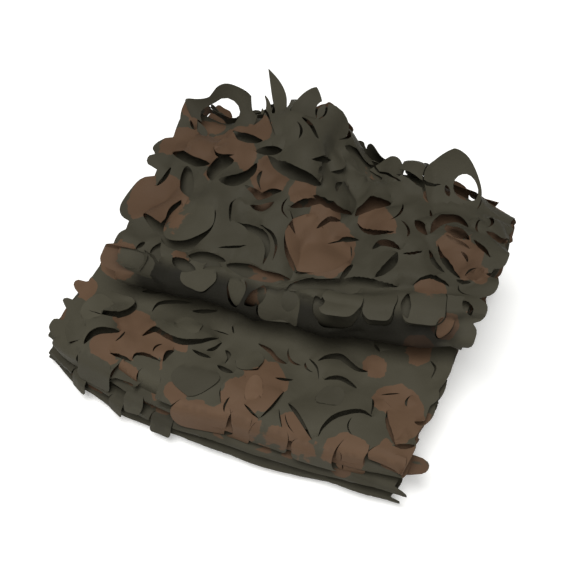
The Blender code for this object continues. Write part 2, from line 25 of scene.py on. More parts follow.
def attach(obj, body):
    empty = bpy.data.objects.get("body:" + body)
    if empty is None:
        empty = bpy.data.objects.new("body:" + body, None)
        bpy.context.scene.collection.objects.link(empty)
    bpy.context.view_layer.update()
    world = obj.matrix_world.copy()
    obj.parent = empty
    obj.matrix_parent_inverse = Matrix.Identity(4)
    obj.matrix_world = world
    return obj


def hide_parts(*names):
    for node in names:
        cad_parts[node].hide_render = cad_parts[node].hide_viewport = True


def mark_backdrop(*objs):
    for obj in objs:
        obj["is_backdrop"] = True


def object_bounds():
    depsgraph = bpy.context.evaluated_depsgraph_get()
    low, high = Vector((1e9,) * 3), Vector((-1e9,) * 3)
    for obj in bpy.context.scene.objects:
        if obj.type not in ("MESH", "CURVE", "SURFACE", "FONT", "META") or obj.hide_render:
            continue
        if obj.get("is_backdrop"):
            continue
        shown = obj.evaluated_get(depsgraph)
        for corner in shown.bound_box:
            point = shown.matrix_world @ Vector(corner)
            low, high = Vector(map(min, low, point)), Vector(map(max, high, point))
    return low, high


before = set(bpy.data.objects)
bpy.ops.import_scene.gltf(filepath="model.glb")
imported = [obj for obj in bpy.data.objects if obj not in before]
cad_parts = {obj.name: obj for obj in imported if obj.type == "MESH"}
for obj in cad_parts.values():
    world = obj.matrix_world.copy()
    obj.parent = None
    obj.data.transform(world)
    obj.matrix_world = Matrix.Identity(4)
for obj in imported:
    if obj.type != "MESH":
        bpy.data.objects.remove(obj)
cad_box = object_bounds()
MM = 0.001
print("the frame's nodes:", list(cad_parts))
print("solid box in mm:", [[round(x / MM) for x in corner] for corner in cad_box])


# %% [markdown]
# ## Two small helpers
#
# A table is a list of rows with named columns, which reads better than bare numbers in code.
# `ease` is a soft step from 0 to 1: it starts and ends with no slope.

# %% Helpers
def table(columns, rows):
    return [dict(zip(columns, row)) for row in rows]


def ease(t):
    t = np.clip(t, 0.0, 1.0)
    return t * t * (3 - 2 * t)


# %% [markdown]
# ## The camera
#
# The photo looks down on the net from the front right. The camera was fitted to the
# outline of the bundle, on a 70 mm lens. It is made first, because the leaves that can be told
# apart in the photo are placed by looking through it: a photo place becomes a ray, and the ray
# finds the cloth.

# %% Camera
PHOTO_SIZE = 580  # the photo's width and height, in its pixels
SENSOR_MM = 36.0
LENS_MM = 70.0
CAMERA_AZIMUTH = math.radians(24)
CAMERA_ELEVATION = math.radians(52)
CAMERA_DISTANCE = 1.30
CAMERA_TARGET = Vector((0.0, 0.0, 0.06))


def camera_axes():
    """The camera's right, up and backward directions."""
    flat = math.cos(CAMERA_ELEVATION)
    across, ahead = math.sin(CAMERA_AZIMUTH), math.cos(CAMERA_AZIMUTH)
    back = Vector((across * flat, -ahead * flat, math.sin(CAMERA_ELEVATION)))
    right = Vector((ahead, across, 0.0))
    return right, back.cross(right), back


def add_camera():
    camera = bpy.data.objects.new("camera", bpy.data.cameras.new("camera"))
    bpy.context.scene.collection.objects.link(camera)
    back = camera_axes()[2]
    camera.location = CAMERA_TARGET + back * CAMERA_DISTANCE
    camera.rotation_euler = back.to_track_quat("Z", "Y").to_euler()
    camera.data.lens = LENS_MM
    camera.data.sensor_width = SENSOR_MM
    bpy.context.scene.camera = camera
    return camera


def photo_ray(x, y):
    """From the camera through one pixel of the photo: the start and the direction."""
    right, up, back = camera_axes()
    half = PHOTO_SIZE / 2
    ahead = -back * (LENS_MM / SENSOR_MM * PHOTO_SIZE)
    direction = ahead + right * (x - half) + up * (half - y)
    return CAMERA_TARGET + back * CAMERA_DISTANCE, direction.normalized()


camera = add_camera()
print("camera at", [round(c, 3) for c in camera.location])

# %% [markdown]
# ## The folded section
#
# Seen from its side the bundle is one line that runs back and forth: nine layers of the flat
# stack, a half turn at the back, then seven levels wound from the outside in. The line changes
# from left to right, so each row of the table below is one cut through the bundle.

# %% Sizes of the section
SHEET = 2.2 * MM  # room that one layer takes up in the bundle
STACK_LAYERS = 9
STACK_TOP = 72 * MM  # the height of the ninth layer
STACK_BACK = 148 * MM
STACK_BEND = 6 * MM  # how far a half turn of the stack bulges past its two layers
FRONT_DROOP = 5 * MM  # the ninth layer hangs this much at its front, and those below it less
DROOP_LENGTH = 45 * MM
EDGE_WAVE = 3.5 * MM  # the front and back edges of the layers wander this much
WAVE_LENGTH = 170 * MM
WAVE_SHIFT = 2.4  # radians from one layer's wave to the next one's
ROLL_LEVELS = (6, 0, 5, 1, 4, 2, 3)  # wound from the outside in, level 6 is the top one
ROLL_SEAT = 9 * MM  # the lowest level lies this far above the stack
CREASE_TO_NOSE = 20 * MM  # the roll's front reaches this far past the crease under it
NOSE_BEND = 38 * MM
NOSE_INSET = 11 * MM  # each inner turn's nose lies this much further in
BACK_BEND = 28 * MM
BACK_INSET = 7.5 * MM
NOSE_PINCH = 9 * MM  # the outer turn's nose is pressed in along one line
NOSE_PINCH_AT = 0.30  # the share of its half turn
NOSE_PINCH_WIDTH = 0.09

# all in millimetres: x is where the cut is, then come the places of the stack's front, of the
# crease under the roll and of the roll's back, and the roll's height at its front and its back
SECTION_COLUMNS = ("x", "stack_front", "crease", "roll_back", "top_front", "top_back")
SECTION_ROWS = (
    (-226, -163, -80, 150, 138, 150),
    (-185, -180, -80, 154, 145, 170),
    (-142, -188, -77, 156, 148, 164),
    (-114, -193, -74, 160, 149, 184),
    (-90, -195, -70, 162, 149, 194),
    (-40, -196, -64, 164, 150, 204),
    (8, -194, -62, 162, 150, 202),
    (38, -192, -60, 158, 150, 169),
    (100, -184, -50, 158, 149, 176),
    (160, -178, -27, 154, 148, 168),
    (222, -170, -4, 148, 145, 152),
)

# all in millimetres: how far a layer stays back from the stack's front and back, or the nose in
# the roll, and where its left and right edges are at its front and back end
LAYER_COLUMNS = ("front_in", "back_in", "left_front", "left_back", "right_front", "right_back")
LAYER_ROWS = (
    (0, 3, -228, -212, 190, 200),
    (-8, 0, -230, -217, 193, 203),
    (-5, 4, -224, -210, 192, 198),
    (-7, 6, -228, -218, 195, 204),
    (-5, 1, -220, -214, 198, 202),
    (3, 0, -225, -217, 194, 203),
    (1, 5, -218, -210, 200, 206),
    (0, 4, -219, -217, 201, 208),
    (0, 0, -210, -214, 202, 210),
    (0, 0, -170, -189, 214, 219),
    (0, 0, -162, -182, 210, 217),
    (0, 0, -169, -182, 206, 212),
    (0, 0, -173, -187, 210, 214),
    (0, 0, -167, -180, 206, 211),
    (0, 0, -171, -184, 203, 212),
    (26, 0, -168, -182, 206, 211),
)
print(len(SECTION_ROWS), "sections and", len(LAYER_ROWS), "layers")


# %% [markdown]
# `Section` turns the tables into lines. Each run and each half turn is a small function that
# takes x and t, from 0 at its start to 1 at its end, and gives y and z. A half turn is half an
# ellipse, made from a sine and a cosine, so it meets both of its runs without a corner.

# %% The section as functions
def smooth_between(x, places, values):
    """A curve through the table's values with no corners."""
    slopes = np.gradient(values, places)
    i = np.clip(np.searchsorted(places, x) - 1, 0, len(places) - 2)
    gap = places[i + 1] - places[i]
    t = np.clip((x - places[i]) / gap, 0.0, 1.0)
    start = (2 * t**3 - 3 * t**2 + 1) * values[i] + (t**3 - 2 * t**2 + t) * slopes[i] * gap
    end = (3 * t**2 - 2 * t**3) * values[i + 1] + (t**3 - t**2) * slopes[i + 1] * gap
    return start + end


class Section:
    def __init__(self):
        rows = table(SECTION_COLUMNS, SECTION_ROWS)
        self.places = np.array([row["x"] for row in rows]) * MM
        self.columns = {
            name: np.array([row[name] for row in rows]) * MM for name in SECTION_COLUMNS[1:]
        }
        self.layers = table(LAYER_COLUMNS, LAYER_ROWS)

    def at(self, name, x):
        return smooth_between(x, self.places, self.columns[name])

    def nose_end(self, x):
        return self.at("crease", x) - CREASE_TO_NOSE + NOSE_BEND

    def back_end(self, x):
        return self.at("roll_back", x) - BACK_BEND

    def stack_height(self, layer, x, y):
        """The lowest layer lies on the floor, and the ones above it droop towards the front."""
        droop = FRONT_DROOP * (1 - ease((y - self.at("stack_front", x)) / DROOP_LENGTH))
        return SHEET / 2 + (STACK_TOP - SHEET / 2 - droop) * layer / (STACK_LAYERS - 1)

    def roll_height(self, level, x, y):
        """The levels are spread evenly between the stack and the roll's top."""
        low = self.stack_height(STACK_LAYERS - 1, x, y) + ROLL_SEAT
        nose, back = self.nose_end(x), self.back_end(x)
        share = ease((y - nose) / (back - nose))
        high = self.at("top_front", x) * (1 - share) + self.at("top_back", x) * share
        return low + (high - low) * level / max(ROLL_LEVELS)

    def stack_end(self, layer, x, at_front):
        """Where a layer ends and its half turn starts. No two layers wander alike."""
        row = self.layers[layer]
        wave = EDGE_WAVE * np.sin(2 * math.pi * x / WAVE_LENGTH + WAVE_SHIFT * layer)
        if at_front:
            return self.at("stack_front", x) + row["front_in"] * MM + wave + STACK_BEND
        if layer == STACK_LAYERS - 1:
            return self.back_end(x)
        return STACK_BACK - row["back_in"] * MM - wave - STACK_BEND


# %% Runs and half turns
def half_turn(t, ends, heights, reach):
    """Half an ellipse from one run's end to the next one's start."""
    share = (1 - np.cos(math.pi * t)) / 2
    y = ends[0] + (ends[1] - ends[0]) * share + reach * np.sin(math.pi * t)
    return y, heights[0] + (heights[1] - heights[0]) * share


def stack_run(section, layer):
    def line(x, t):
        start = section.stack_end(layer, x, layer % 2 == 0)
        end = section.stack_end(layer, x, layer % 2 == 1)
        y = start + (end - start) * t
        return y, section.stack_height(layer, x, y)

    return line


def stack_turn(section, upper, at_front):
    def line(x, t):
        ends = [section.stack_end(layer, x, at_front) for layer in (upper - 1, upper)]
        heights = [section.stack_height(upper - 1 + k, x, ends[k]) for k in (0, 1)]
        return half_turn(t, ends, heights, -STACK_BEND if at_front else STACK_BEND)

    return line


def roll_run(section, turn, level, forwards):
    def line(x, t):
        nose = section.nose_end(x) + section.layers[STACK_LAYERS + turn]["front_in"] * MM
        back = section.back_end(x)
        y = back + (nose - back) * t if forwards else nose + (back - nose) * t
        return y, section.roll_height(level, x, y)

    return line


def roll_back_turn(section, level, following, inset):
    def line(x, t):
        y = section.back_end(x)
        low = section.stack_height(STACK_LAYERS - 1, x, y)
        if level is not None:
            low = section.roll_height(level, x, y)
        heights = (low, section.roll_height(following, x, y))
        return half_turn(t, (y, y), heights, BACK_BEND - BACK_INSET * inset)

    return line


def roll_nose_turn(section, level, following, inset):
    def line(x, t):
        y = section.nose_end(x)
        heights = section.roll_height(level, x, y), section.roll_height(following, x, y)
        y, z = half_turn(t, (y, y), heights, -(NOSE_BEND - NOSE_INSET * inset))
        if inset == 0:
            y = y + NOSE_PINCH * np.exp(-(((t - NOSE_PINCH_AT) / NOSE_PINCH_WIDTH) ** 2))
        return y, z

    return line


def all_lines(section):
    """The runs and half turns in order along the cloth: (name, is a half turn, line)."""
    made = []
    top = STACK_LAYERS - 1
    for layer in range(STACK_LAYERS):
        at_front = layer % 2 == 0
        if layer:
            name = f"{'front' if at_front else 'back'}_fold_{layer // 2}"
            made.append((name, True, stack_turn(section, layer, at_front)))
        name = "stack_top" if layer == top else f"stack_{layer}"
        made.append((name, False, stack_run(section, layer)))
    made.append(("roll_back", True, roll_back_turn(section, None, ROLL_LEVELS[0], 0)))
    for turn, level in enumerate(ROLL_LEVELS):
        forwards = turn % 2 == 0
        name = f"roll_{turn}" if turn else "roll_top"
        made.append((name, False, roll_run(section, turn, level, forwards)))
        if turn + 1 == len(ROLL_LEVELS):
            break
        following = ROLL_LEVELS[turn + 1]
        if forwards:
            name = f"inner_nose_{turn}" if turn else "roll_nose"
            made.append((name, True, roll_nose_turn(section, level, following, turn // 2)))
        else:
            bend = roll_back_turn(section, level, following, turn // 2 + 1)
            made.append((f"inner_back_{turn}", True, bend))
    return made


section = Section()
lines = all_lines(section)
print(len(lines), "runs and half turns:", ", ".join(name for name, _, _ in lines[:5]), "...")

# %% [markdown]
# ## The flat cloth and its folded place
#
# The section is sampled as a fine grid of folded places. The grid's rows are measured along the
# cloth, which gives the flat length u, and its columns are the flat width v. From here on the
# cloth is a flat drawing in u and v, and the grid answers where any flat place ends up.

# %% The folded cloth
RUN_ROWS = 44
TURN_ROWS = 26
GRID_COLUMNS = 99
GRID_LEFT = -244 * MM
GRID_RIGHT = 244 * MM


class Piece:
    """One run or half turn, by the grid rows that it takes up."""

    def __init__(self, name, is_turn, first, last):
        self.name, self.is_turn, self.first, self.last = name, is_turn, first, last


class FoldedCloth:
    def __init__(self, section, lines):
        self.section = section
        self.v = np.linspace(GRID_LEFT, GRID_RIGHT, GRID_COLUMNS)
        self.pieces = []
        rows = []
        for name, is_turn, line in lines:
            first = max(0, len(rows) - 1)
            count = TURN_ROWS if is_turn else RUN_ROWS
            for t in np.linspace(0, 1, count)[1 if rows else 0 :]:
                y, z = line(self.v, t)
                rows.append(np.stack([self.v, y, z], axis=1))
            self.pieces.append(Piece(name, is_turn, first, len(rows) - 1))
        self.grid = np.array(rows)
        steps = np.linalg.norm(np.diff(self.grid, axis=0), axis=2).mean(axis=1)
        self.u = np.concatenate([[0.0], np.cumsum(steps)])
        self.named = {piece.name: piece for piece in self.pieces}
        self.refresh()

    def refresh(self):
        """Works out the outward directions again after the grid has been pushed about."""
        normal = np.cross(np.gradient(self.grid, axis=1), np.gradient(self.grid, axis=0))
        self.normal = normal / np.linalg.norm(normal, axis=2, keepdims=True)

    def place_on(self, name, along):
        """The flat length at a share of a piece."""
        piece = self.named[name]
        start, end = self.u[piece.first], self.u[piece.last]
        return start + (end - start) * along

    def on(self, name, u):
        """Which flat lengths lie on a piece."""
        piece = self.named[name]
        return (u >= self.u[piece.first]) & (u <= self.u[piece.last])

    def piece_at(self, u):
        """The piece that a flat length lies on."""
        row = np.searchsorted(self.u, u) - 1
        return next(piece for piece in self.pieces if row < piece.last or piece is self.pieces[-1])

    def sample(self, field, u, v):
        """The value at flat places of what is known at the grid's corners."""
        i = np.clip(np.searchsorted(self.u, u) - 1, 0, len(self.u) - 2)
        j = np.clip(np.searchsorted(self.v, v) - 1, 0, len(self.v) - 2)
        a = np.clip((u - self.u[i]) / (self.u[i + 1] - self.u[i]), 0, 1)[:, None]
        b = np.clip((v - self.v[j]) / (self.v[j + 1] - self.v[j]), 0, 1)[:, None]
        low = field[i, j] * (1 - b) + field[i, j + 1] * b
        high = field[i + 1, j] * (1 - b) + field[i + 1, j + 1] * b
        return low * (1 - a) + high * a

    def directions(self, u, v):
        """The directions of u, of v and of the drawn upper side at one flat place."""
        u, v, step = np.array([u]), np.array([v]), 2 * MM
        normal = self.sample(self.normal, u, v)[0]
        normal /= np.linalg.norm(normal)
        toward_u = (self.sample(self.grid, u + step, v) - self.sample(self.grid, u - step, v))[0]
        toward_u -= normal * (toward_u @ normal)
        toward_u /= np.linalg.norm(toward_u)
        return toward_u, np.cross(toward_u, normal), normal


cloth = FoldedCloth(section, lines)
print(f"cloth {cloth.u[-1]:.2f} m long on a grid of {cloth.grid.shape[0]} x {cloth.grid.shape[1]}")


# %% [markdown]
# ## Looking through the camera
#
# The grid is also a surface that a ray can hit. `flat_place` sends a ray through a pixel of the
# photo and reads off the flat place that it lands on, so a leaf can be placed where the eye
# sees it and still be cut in the flat cloth, and it sits right from every other side too.

# %% From the photo to the flat cloth
SLIDE_LIMIT = 80  # photo pixels that a place past the outline may slide down


class PhotoFinder:
    def __init__(self, cloth):
        self.cloth = cloth
        rows, width = cloth.grid.shape[:2]
        self.columns = width
        corners = [tuple(place) for place in cloth.grid.reshape(-1, 3)]
        faces = [
            (i * width + j, i * width + j + 1, (i + 1) * width + j + 1, (i + 1) * width + j)
            for i in range(rows - 1)
            for j in range(width - 1)
        ]
        self.tree = BVHTree.FromPolygons(corners, faces)

    def flat_place(self, x, y):
        """The flat place (u, v) seen at a pixel. Past the outline it slides down to the cloth."""
        for lower in range(SLIDE_LIMIT):
            start, direction = photo_ray(x, y + lower)
            hit, _, face, _ = self.tree.ray_cast(start, direction)
            if hit is not None:
                break
        i, j = divmod(face, self.columns - 1)
        a, b = self.cloth.grid[i, j], self.cloth.grid[i + 1, j]
        share = np.clip(np.dot(np.array(hit) - a, b - a) / np.dot(b - a, b - a), 0, 1)
        return float(self.cloth.u[i] + (self.cloth.u[i + 1] - self.cloth.u[i]) * share), hit.x


finder = PhotoFinder(cloth)
print("the photo's middle shows the flat place", finder.flat_place(290, 290))


# %% [markdown]
# ## Relief
#
# The cloth isn't smooth: the outer layer is pushed up into loose places and has main creases.
# The creases are each set between two places of the photo, as soft troughs and ridges. Under
# them lies a faceted noise, because a packed sheet is flat between sharp little creases, and a
# softer one that makes it wave. The free side edges rise and fall on every layer.

# %% Loose places and main creases
# along is a share of the piece, and the other sizes are in millimetres
PULL_COLUMNS = ("piece", "along", "x", "radius", "height")
PULL_ROWS = (
    ("roll_top", 0.04, -172, 22, 5),
    ("roll_top", 0.02, -30, 34, 10),
    ("roll_top", 0.03, 96, 20, 9),
    ("roll_top", 0.03, 152, 28, 5),
    ("roll_top", 0.30, -66, 26, 8),
    ("roll_top", 0.36, -140, 24, 7),
    ("roll_top", 0.30, 60, 26, 7),
    ("roll_top", 0.44, 160, 28, 8),
    ("roll_top", 0.62, -20, 26, 7),
    ("roll_top", 0.58, 104, 24, 6),
    ("roll_top", 0.74, -110, 28, 8),
    ("roll_top", 0.84, 40, 24, 6),
    ("roll_nose", 0.42, -100, 22, 6),
    ("roll_nose", 0.46, 70, 24, 6),
    ("roll_nose", 0.42, -150, 36, -10),
    ("roll_back", 0.55, -60, 34, 8),
    ("roll_back", 0.50, 80, 34, 7),
    ("roll_back", 0.90, 200, 30, -8),
    ("stack_top", 0.12, -170, 34, 6),
    ("stack_top", 0.22, -70, 26, 6),
    ("stack_top", 0.10, 30, 30, 5),
    ("stack_top", 0.20, 128, 28, 6),
)

# from and to are pixels of the photo
CREASE_COLUMNS = ("from_x", "from_y", "to_x", "to_y", "width_mm", "height_mm")
CREASE_ROWS = (
    (292, 124, 318, 178, 14, 9),
    (318, 178, 352, 212, 14, 8),
    (270, 160, 322, 188, 10, -8),
    (345, 150, 372, 178, 12, -10),
    (360, 214, 398, 204, 9, -6),
    (205, 165, 262, 178, 9, -5),
    (190, 256, 262, 268, 10, -6),
    (262, 270, 345, 284, 9, -7),
    (345, 284, 412, 286, 9, -7),
    (172, 222, 188, 248, 9, -7),
    (300, 212, 300, 250, 9, -5),
    (412, 222, 440, 250, 10, -4),
    (88, 286, 180, 290, 8, -3),
    (236, 312, 288, 327, 11, -7),
    (314, 332, 356, 335, 11, -7),
    (382, 335, 440, 334, 11, -7),
    (150, 330, 216, 341, 10, 3),
    (318, 362, 370, 374, 10, 3),
)
print(len(PULL_ROWS), "loose places and", len(CREASE_ROWS), "main creases")

# %% Sizes of the crumples
NOISE_COLUMNS = ("piece", "height_mm", "facet_mm")
NOISE_ROWS = (
    ("roll_top", 4.0, 10.5),
    ("roll_nose", 3.0, 7.0),
    ("roll_back", 5.0, 6.0),
    ("stack_top", 2.0, 4.2),
    *((f"front_fold_{k}", 1.0, 1.5) for k in (4, 3, 2, 1)),
)
NOISE_WAVE = 85 * MM
NOISE_PLANE = 0.5  # the noise is solid, and each use of it is a cut through it at its own height
FACET_PITCH = 29 * MM
FACET_JITTER = 0.33
UNDER_ROLL = 30 * MM  # the top of the stack gets flat over this length, up to the crease
SIDE_FLUTTER = 3.0 * MM  # the free side edges of every layer rise and fall this much
SIDE_WAVE = 55 * MM
SIDE_PLANE = 3.5
SIDE_DEPTH = 30 * MM
MERGE_WITHIN = 1e-7  # metres: flat places closer than this are one corner of the triangulation
LEFT_LIMIT = -200 * MM  # about where the side edges are
RIGHT_LIMIT = 205 * MM


# %% Creases and soft bumps
def side_of(piece):
    """Which side of the drawn cloth faces out: its upper one on the stack's front and top."""
    return 1 if piece.startswith(("stack", "front")) else -1


def distance_to_line(u, v, start, end):
    """The distance to a straight line between two flat places."""
    du, dv = end[0] - start[0], end[1] - start[1]
    t = np.clip(((u - start[0]) * du + (v - start[1]) * dv) / (du * du + dv * dv), 0, 1)
    return np.hypot(u - start[0] - t * du, v - start[1] - t * dv)


def noise_field(u, v, wave, plane):
    """Soft bumps between -1 and 1, at flat places given as arrays of one shape."""
    places = zip(np.ravel(u), np.ravel(v))
    values = [noise.noise(Vector((a / wave, b / wave, plane))) for a, b in places]
    return np.array(values).reshape(np.shape(u))


# %% Facets
def faceted_field(u, v, pitch, rng):
    """A crumpled sheet: flat triangles between corners at random heights from -1 to 1."""

    def near(place):
        return place + rng.uniform(-1, 1) * FACET_JITTER * pitch

    rows = np.arange(u.min() - pitch, u.max() + 2 * pitch, pitch)
    columns = np.arange(v.min() - pitch, v.max() + 2 * pitch, pitch)
    knots = [Vector((near(a), near(b))) for a in rows for b in columns]
    places, _, faces, *_ = delaunay_2d_cdt(knots, [], [], 0, MERGE_WITHIN, False)
    places = np.array([place[:] for place in places])
    heights = np.array([rng.uniform(-1, 1) for _ in places])
    field = np.zeros(u.shape)
    for face in faces:
        a, b, c = places[list(face)]
        low, high = np.searchsorted(u[:, 0], (min(a[0], b[0], c[0]), max(a[0], b[0], c[0])))
        du, dv = u[low:high] - c[0], v[low:high] - c[1]
        area = (a[0] - c[0]) * (b[1] - c[1]) - (b[0] - c[0]) * (a[1] - c[1])
        first = (du * (b[1] - c[1]) - (b[0] - c[0]) * dv) / area
        second = ((a[0] - c[0]) * dv - du * (a[1] - c[1])) / area
        third = 1 - first - second
        on = (first >= 0) & (second >= 0) & (third >= 0)
        values = first * heights[face[0]] + second * heights[face[1]] + third * heights[face[2]]
        field[low:high][on] = values[on]
    return field


# %% The relief in three parts
def pulls_and_creases(cloth, finder, u, v):
    height = np.zeros(u.shape)
    for row in table(PULL_COLUMNS, PULL_ROWS):
        away = np.hypot(u - cloth.place_on(row["piece"], row["along"]), v - row["x"] * MM)
        bump = np.exp(-((away / (row["radius"] * MM)) ** 2))
        height += side_of(row["piece"]) * row["height"] * MM * bump
    for row in table(CREASE_COLUMNS, CREASE_ROWS):
        start = finder.flat_place(row["from_x"], row["from_y"])
        end = finder.flat_place(row["to_x"], row["to_y"])
        side = side_of(cloth.piece_at((start[0] + end[0]) / 2).name)
        away = distance_to_line(u, v, start, end) / (row["width_mm"] * MM)
        height += side * row["height_mm"] * MM * np.exp(-(away**2))
    return height


def add_crumples(cloth, u, v, height):
    """Facets and soft noise, which fade out at both ends of a piece so that it meets the next."""
    for row in table(NOISE_COLUMNS, NOISE_ROWS):
        piece = cloth.named[row["piece"]]
        rows = slice(piece.first, piece.last + 1)
        t = np.linspace(0, 1, piece.last - piece.first + 1)
        fade = np.sqrt(np.sin(math.pi * t))[:, None]
        if row["piece"] == "stack_top":  # under the roll it lies flat
            past_crease = cloth.grid[rows, :, 1] - section.at("crease", cloth.v)
            fade = fade * (1 - ease(past_crease / UNDER_ROLL + 1.0))
        facets = faceted_field(u[rows], v[rows], FACET_PITCH, random.Random(piece.first))
        bumps = noise_field(u[rows], v[rows], NOISE_WAVE, NOISE_PLANE)
        height[rows] += row["facet_mm"] * MM * facets * fade
        height[rows] += row["height_mm"] * MM * bumps * fade


def side_flutter(cloth, u, v):
    from_side = np.minimum(v - LEFT_LIMIT, RIGHT_LIMIT - v)
    flutter = SIDE_FLUTTER * (1 - ease(from_side / SIDE_DEPTH))
    flutter[: cloth.named["stack_1"].first] = 0  # the lowest layer lies flat on the floor
    return flutter * noise_field(u, np.sign(v), SIDE_WAVE, SIDE_PLANE)


# %% Pushing the cloth into its relief
def push_into_relief(cloth, finder):
    """Moves the grid along its outward direction."""
    u, v = np.broadcast_arrays(cloth.u[:, None], cloth.v[None])
    height = pulls_and_creases(cloth, finder, u, v)
    add_crumples(cloth, u, v, height)
    height += side_flutter(cloth, u, v)
    cloth.grid += cloth.normal * height[..., None]
    cloth.refresh()


smooth_grid = cloth.grid.copy()
push_into_relief(cloth, finder)
finder = PhotoFinder(cloth)  # from here on places are read on the relief
moved = np.linalg.norm(cloth.grid - smooth_grid, axis=2)
print(f"relief moves the cloth up to {moved.max() / MM:.0f} mm")

# %% [markdown]
# ## A leaf
#
# A leaf is a C-shaped cut. Inside it a tongue stays joined to the cloth at its hinge, as if a
# hole punch had stopped short. Its outline is a circle that can be drawn out to a point, made
# slender or a little crooked. The tongue leaves the cloth at its hinge with a lift, curls on,
# and may droop where nothing carries it. It spreads a little, so it laps over the cloth's rim.
# `stiff` says whose shape it has: at 0 it follows the folded cloth under it, and at 1 it leaves
# in the direction of its hinge and keeps its own line.

# %% Sizes of a leaf
LEAF_OPEN = math.radians(104)  # the part of the circle that stays joined
RIM_STEP = 3.2 * MM
RIM_LEAST_STEPS = 9
HOLE_CORNERS = 18
GAP_BLUNTNESS = 0.6  # how soon the gap round a tongue gets its full width
CROOKED = 0.07  # the most that each wave in an outline is, as a share of the radius
PATH_STEPS = 40
LIFT_WITHIN = 0.25  # the tongue has its full lift this far from its hinge
DROOP_WITHIN = 0.45
SPREAD_WITHIN = 0.35
CLEAR_WITHIN = 0.2
CLEARANCE = 0.9 * MM  # a tongue that follows the cloth lies at least this far above it
CURL_POWER = 1.3  # above 1 a tongue curls more towards its tip
HINGE_DEPTH = 1e-6  # metres: what is nearer to the hinge than this isn't on the tongue

LEAF_DEFAULTS = dict(
    # the outline: its width, how far it is drawn out, how thin its tip is, where below zero is
    # square, and the gap round it in millimetres
    width=1.0, point=0.0, sharp=0.0, gap=1.8,
    # how it stands: the degrees of its lift, curl and droop, its form across, how much it
    # spreads, and how stiff it is
    lift=14, curl=26, droop=0, cup=0.0, twist=0.0, grow=1.12, stiff=0.0,
    # a second hole punched in it, and how far that is off its middle, as shares of its radius
    hole=0.0, hole_beside=0.0,
    # its print: above zero is browner, and lighter
    tone=0.0, light=0.0,
)


# %% Inside an outline
def inside(places, outline):
    """Which flat places lie in a closed outline."""
    outline = np.asarray(outline)
    x, y = places[:, 0][:, None], places[:, 1][:, None]
    (x0, y0), (x1, y1) = outline.T[:, None], np.roll(outline, -1, axis=0).T[:, None]
    crosses = (y0 > y) != (y1 > y)
    at = x0 + (y - y0) * (x1 - x0) / np.where(crosses, y1 - y0, 1.0)
    return (crosses & (x < at)).sum(axis=1) % 2 == 1


# %% The leaf
def turned_place(foot, turn, ahead, beside):
    """The flat places that lie so far ahead of a foot and beside it, seen in a direction."""
    c, s = math.cos(turn), math.sin(turn)
    return np.stack([foot[0] + ahead * c - beside * s, foot[1] + ahead * s + beside * c], axis=-1)


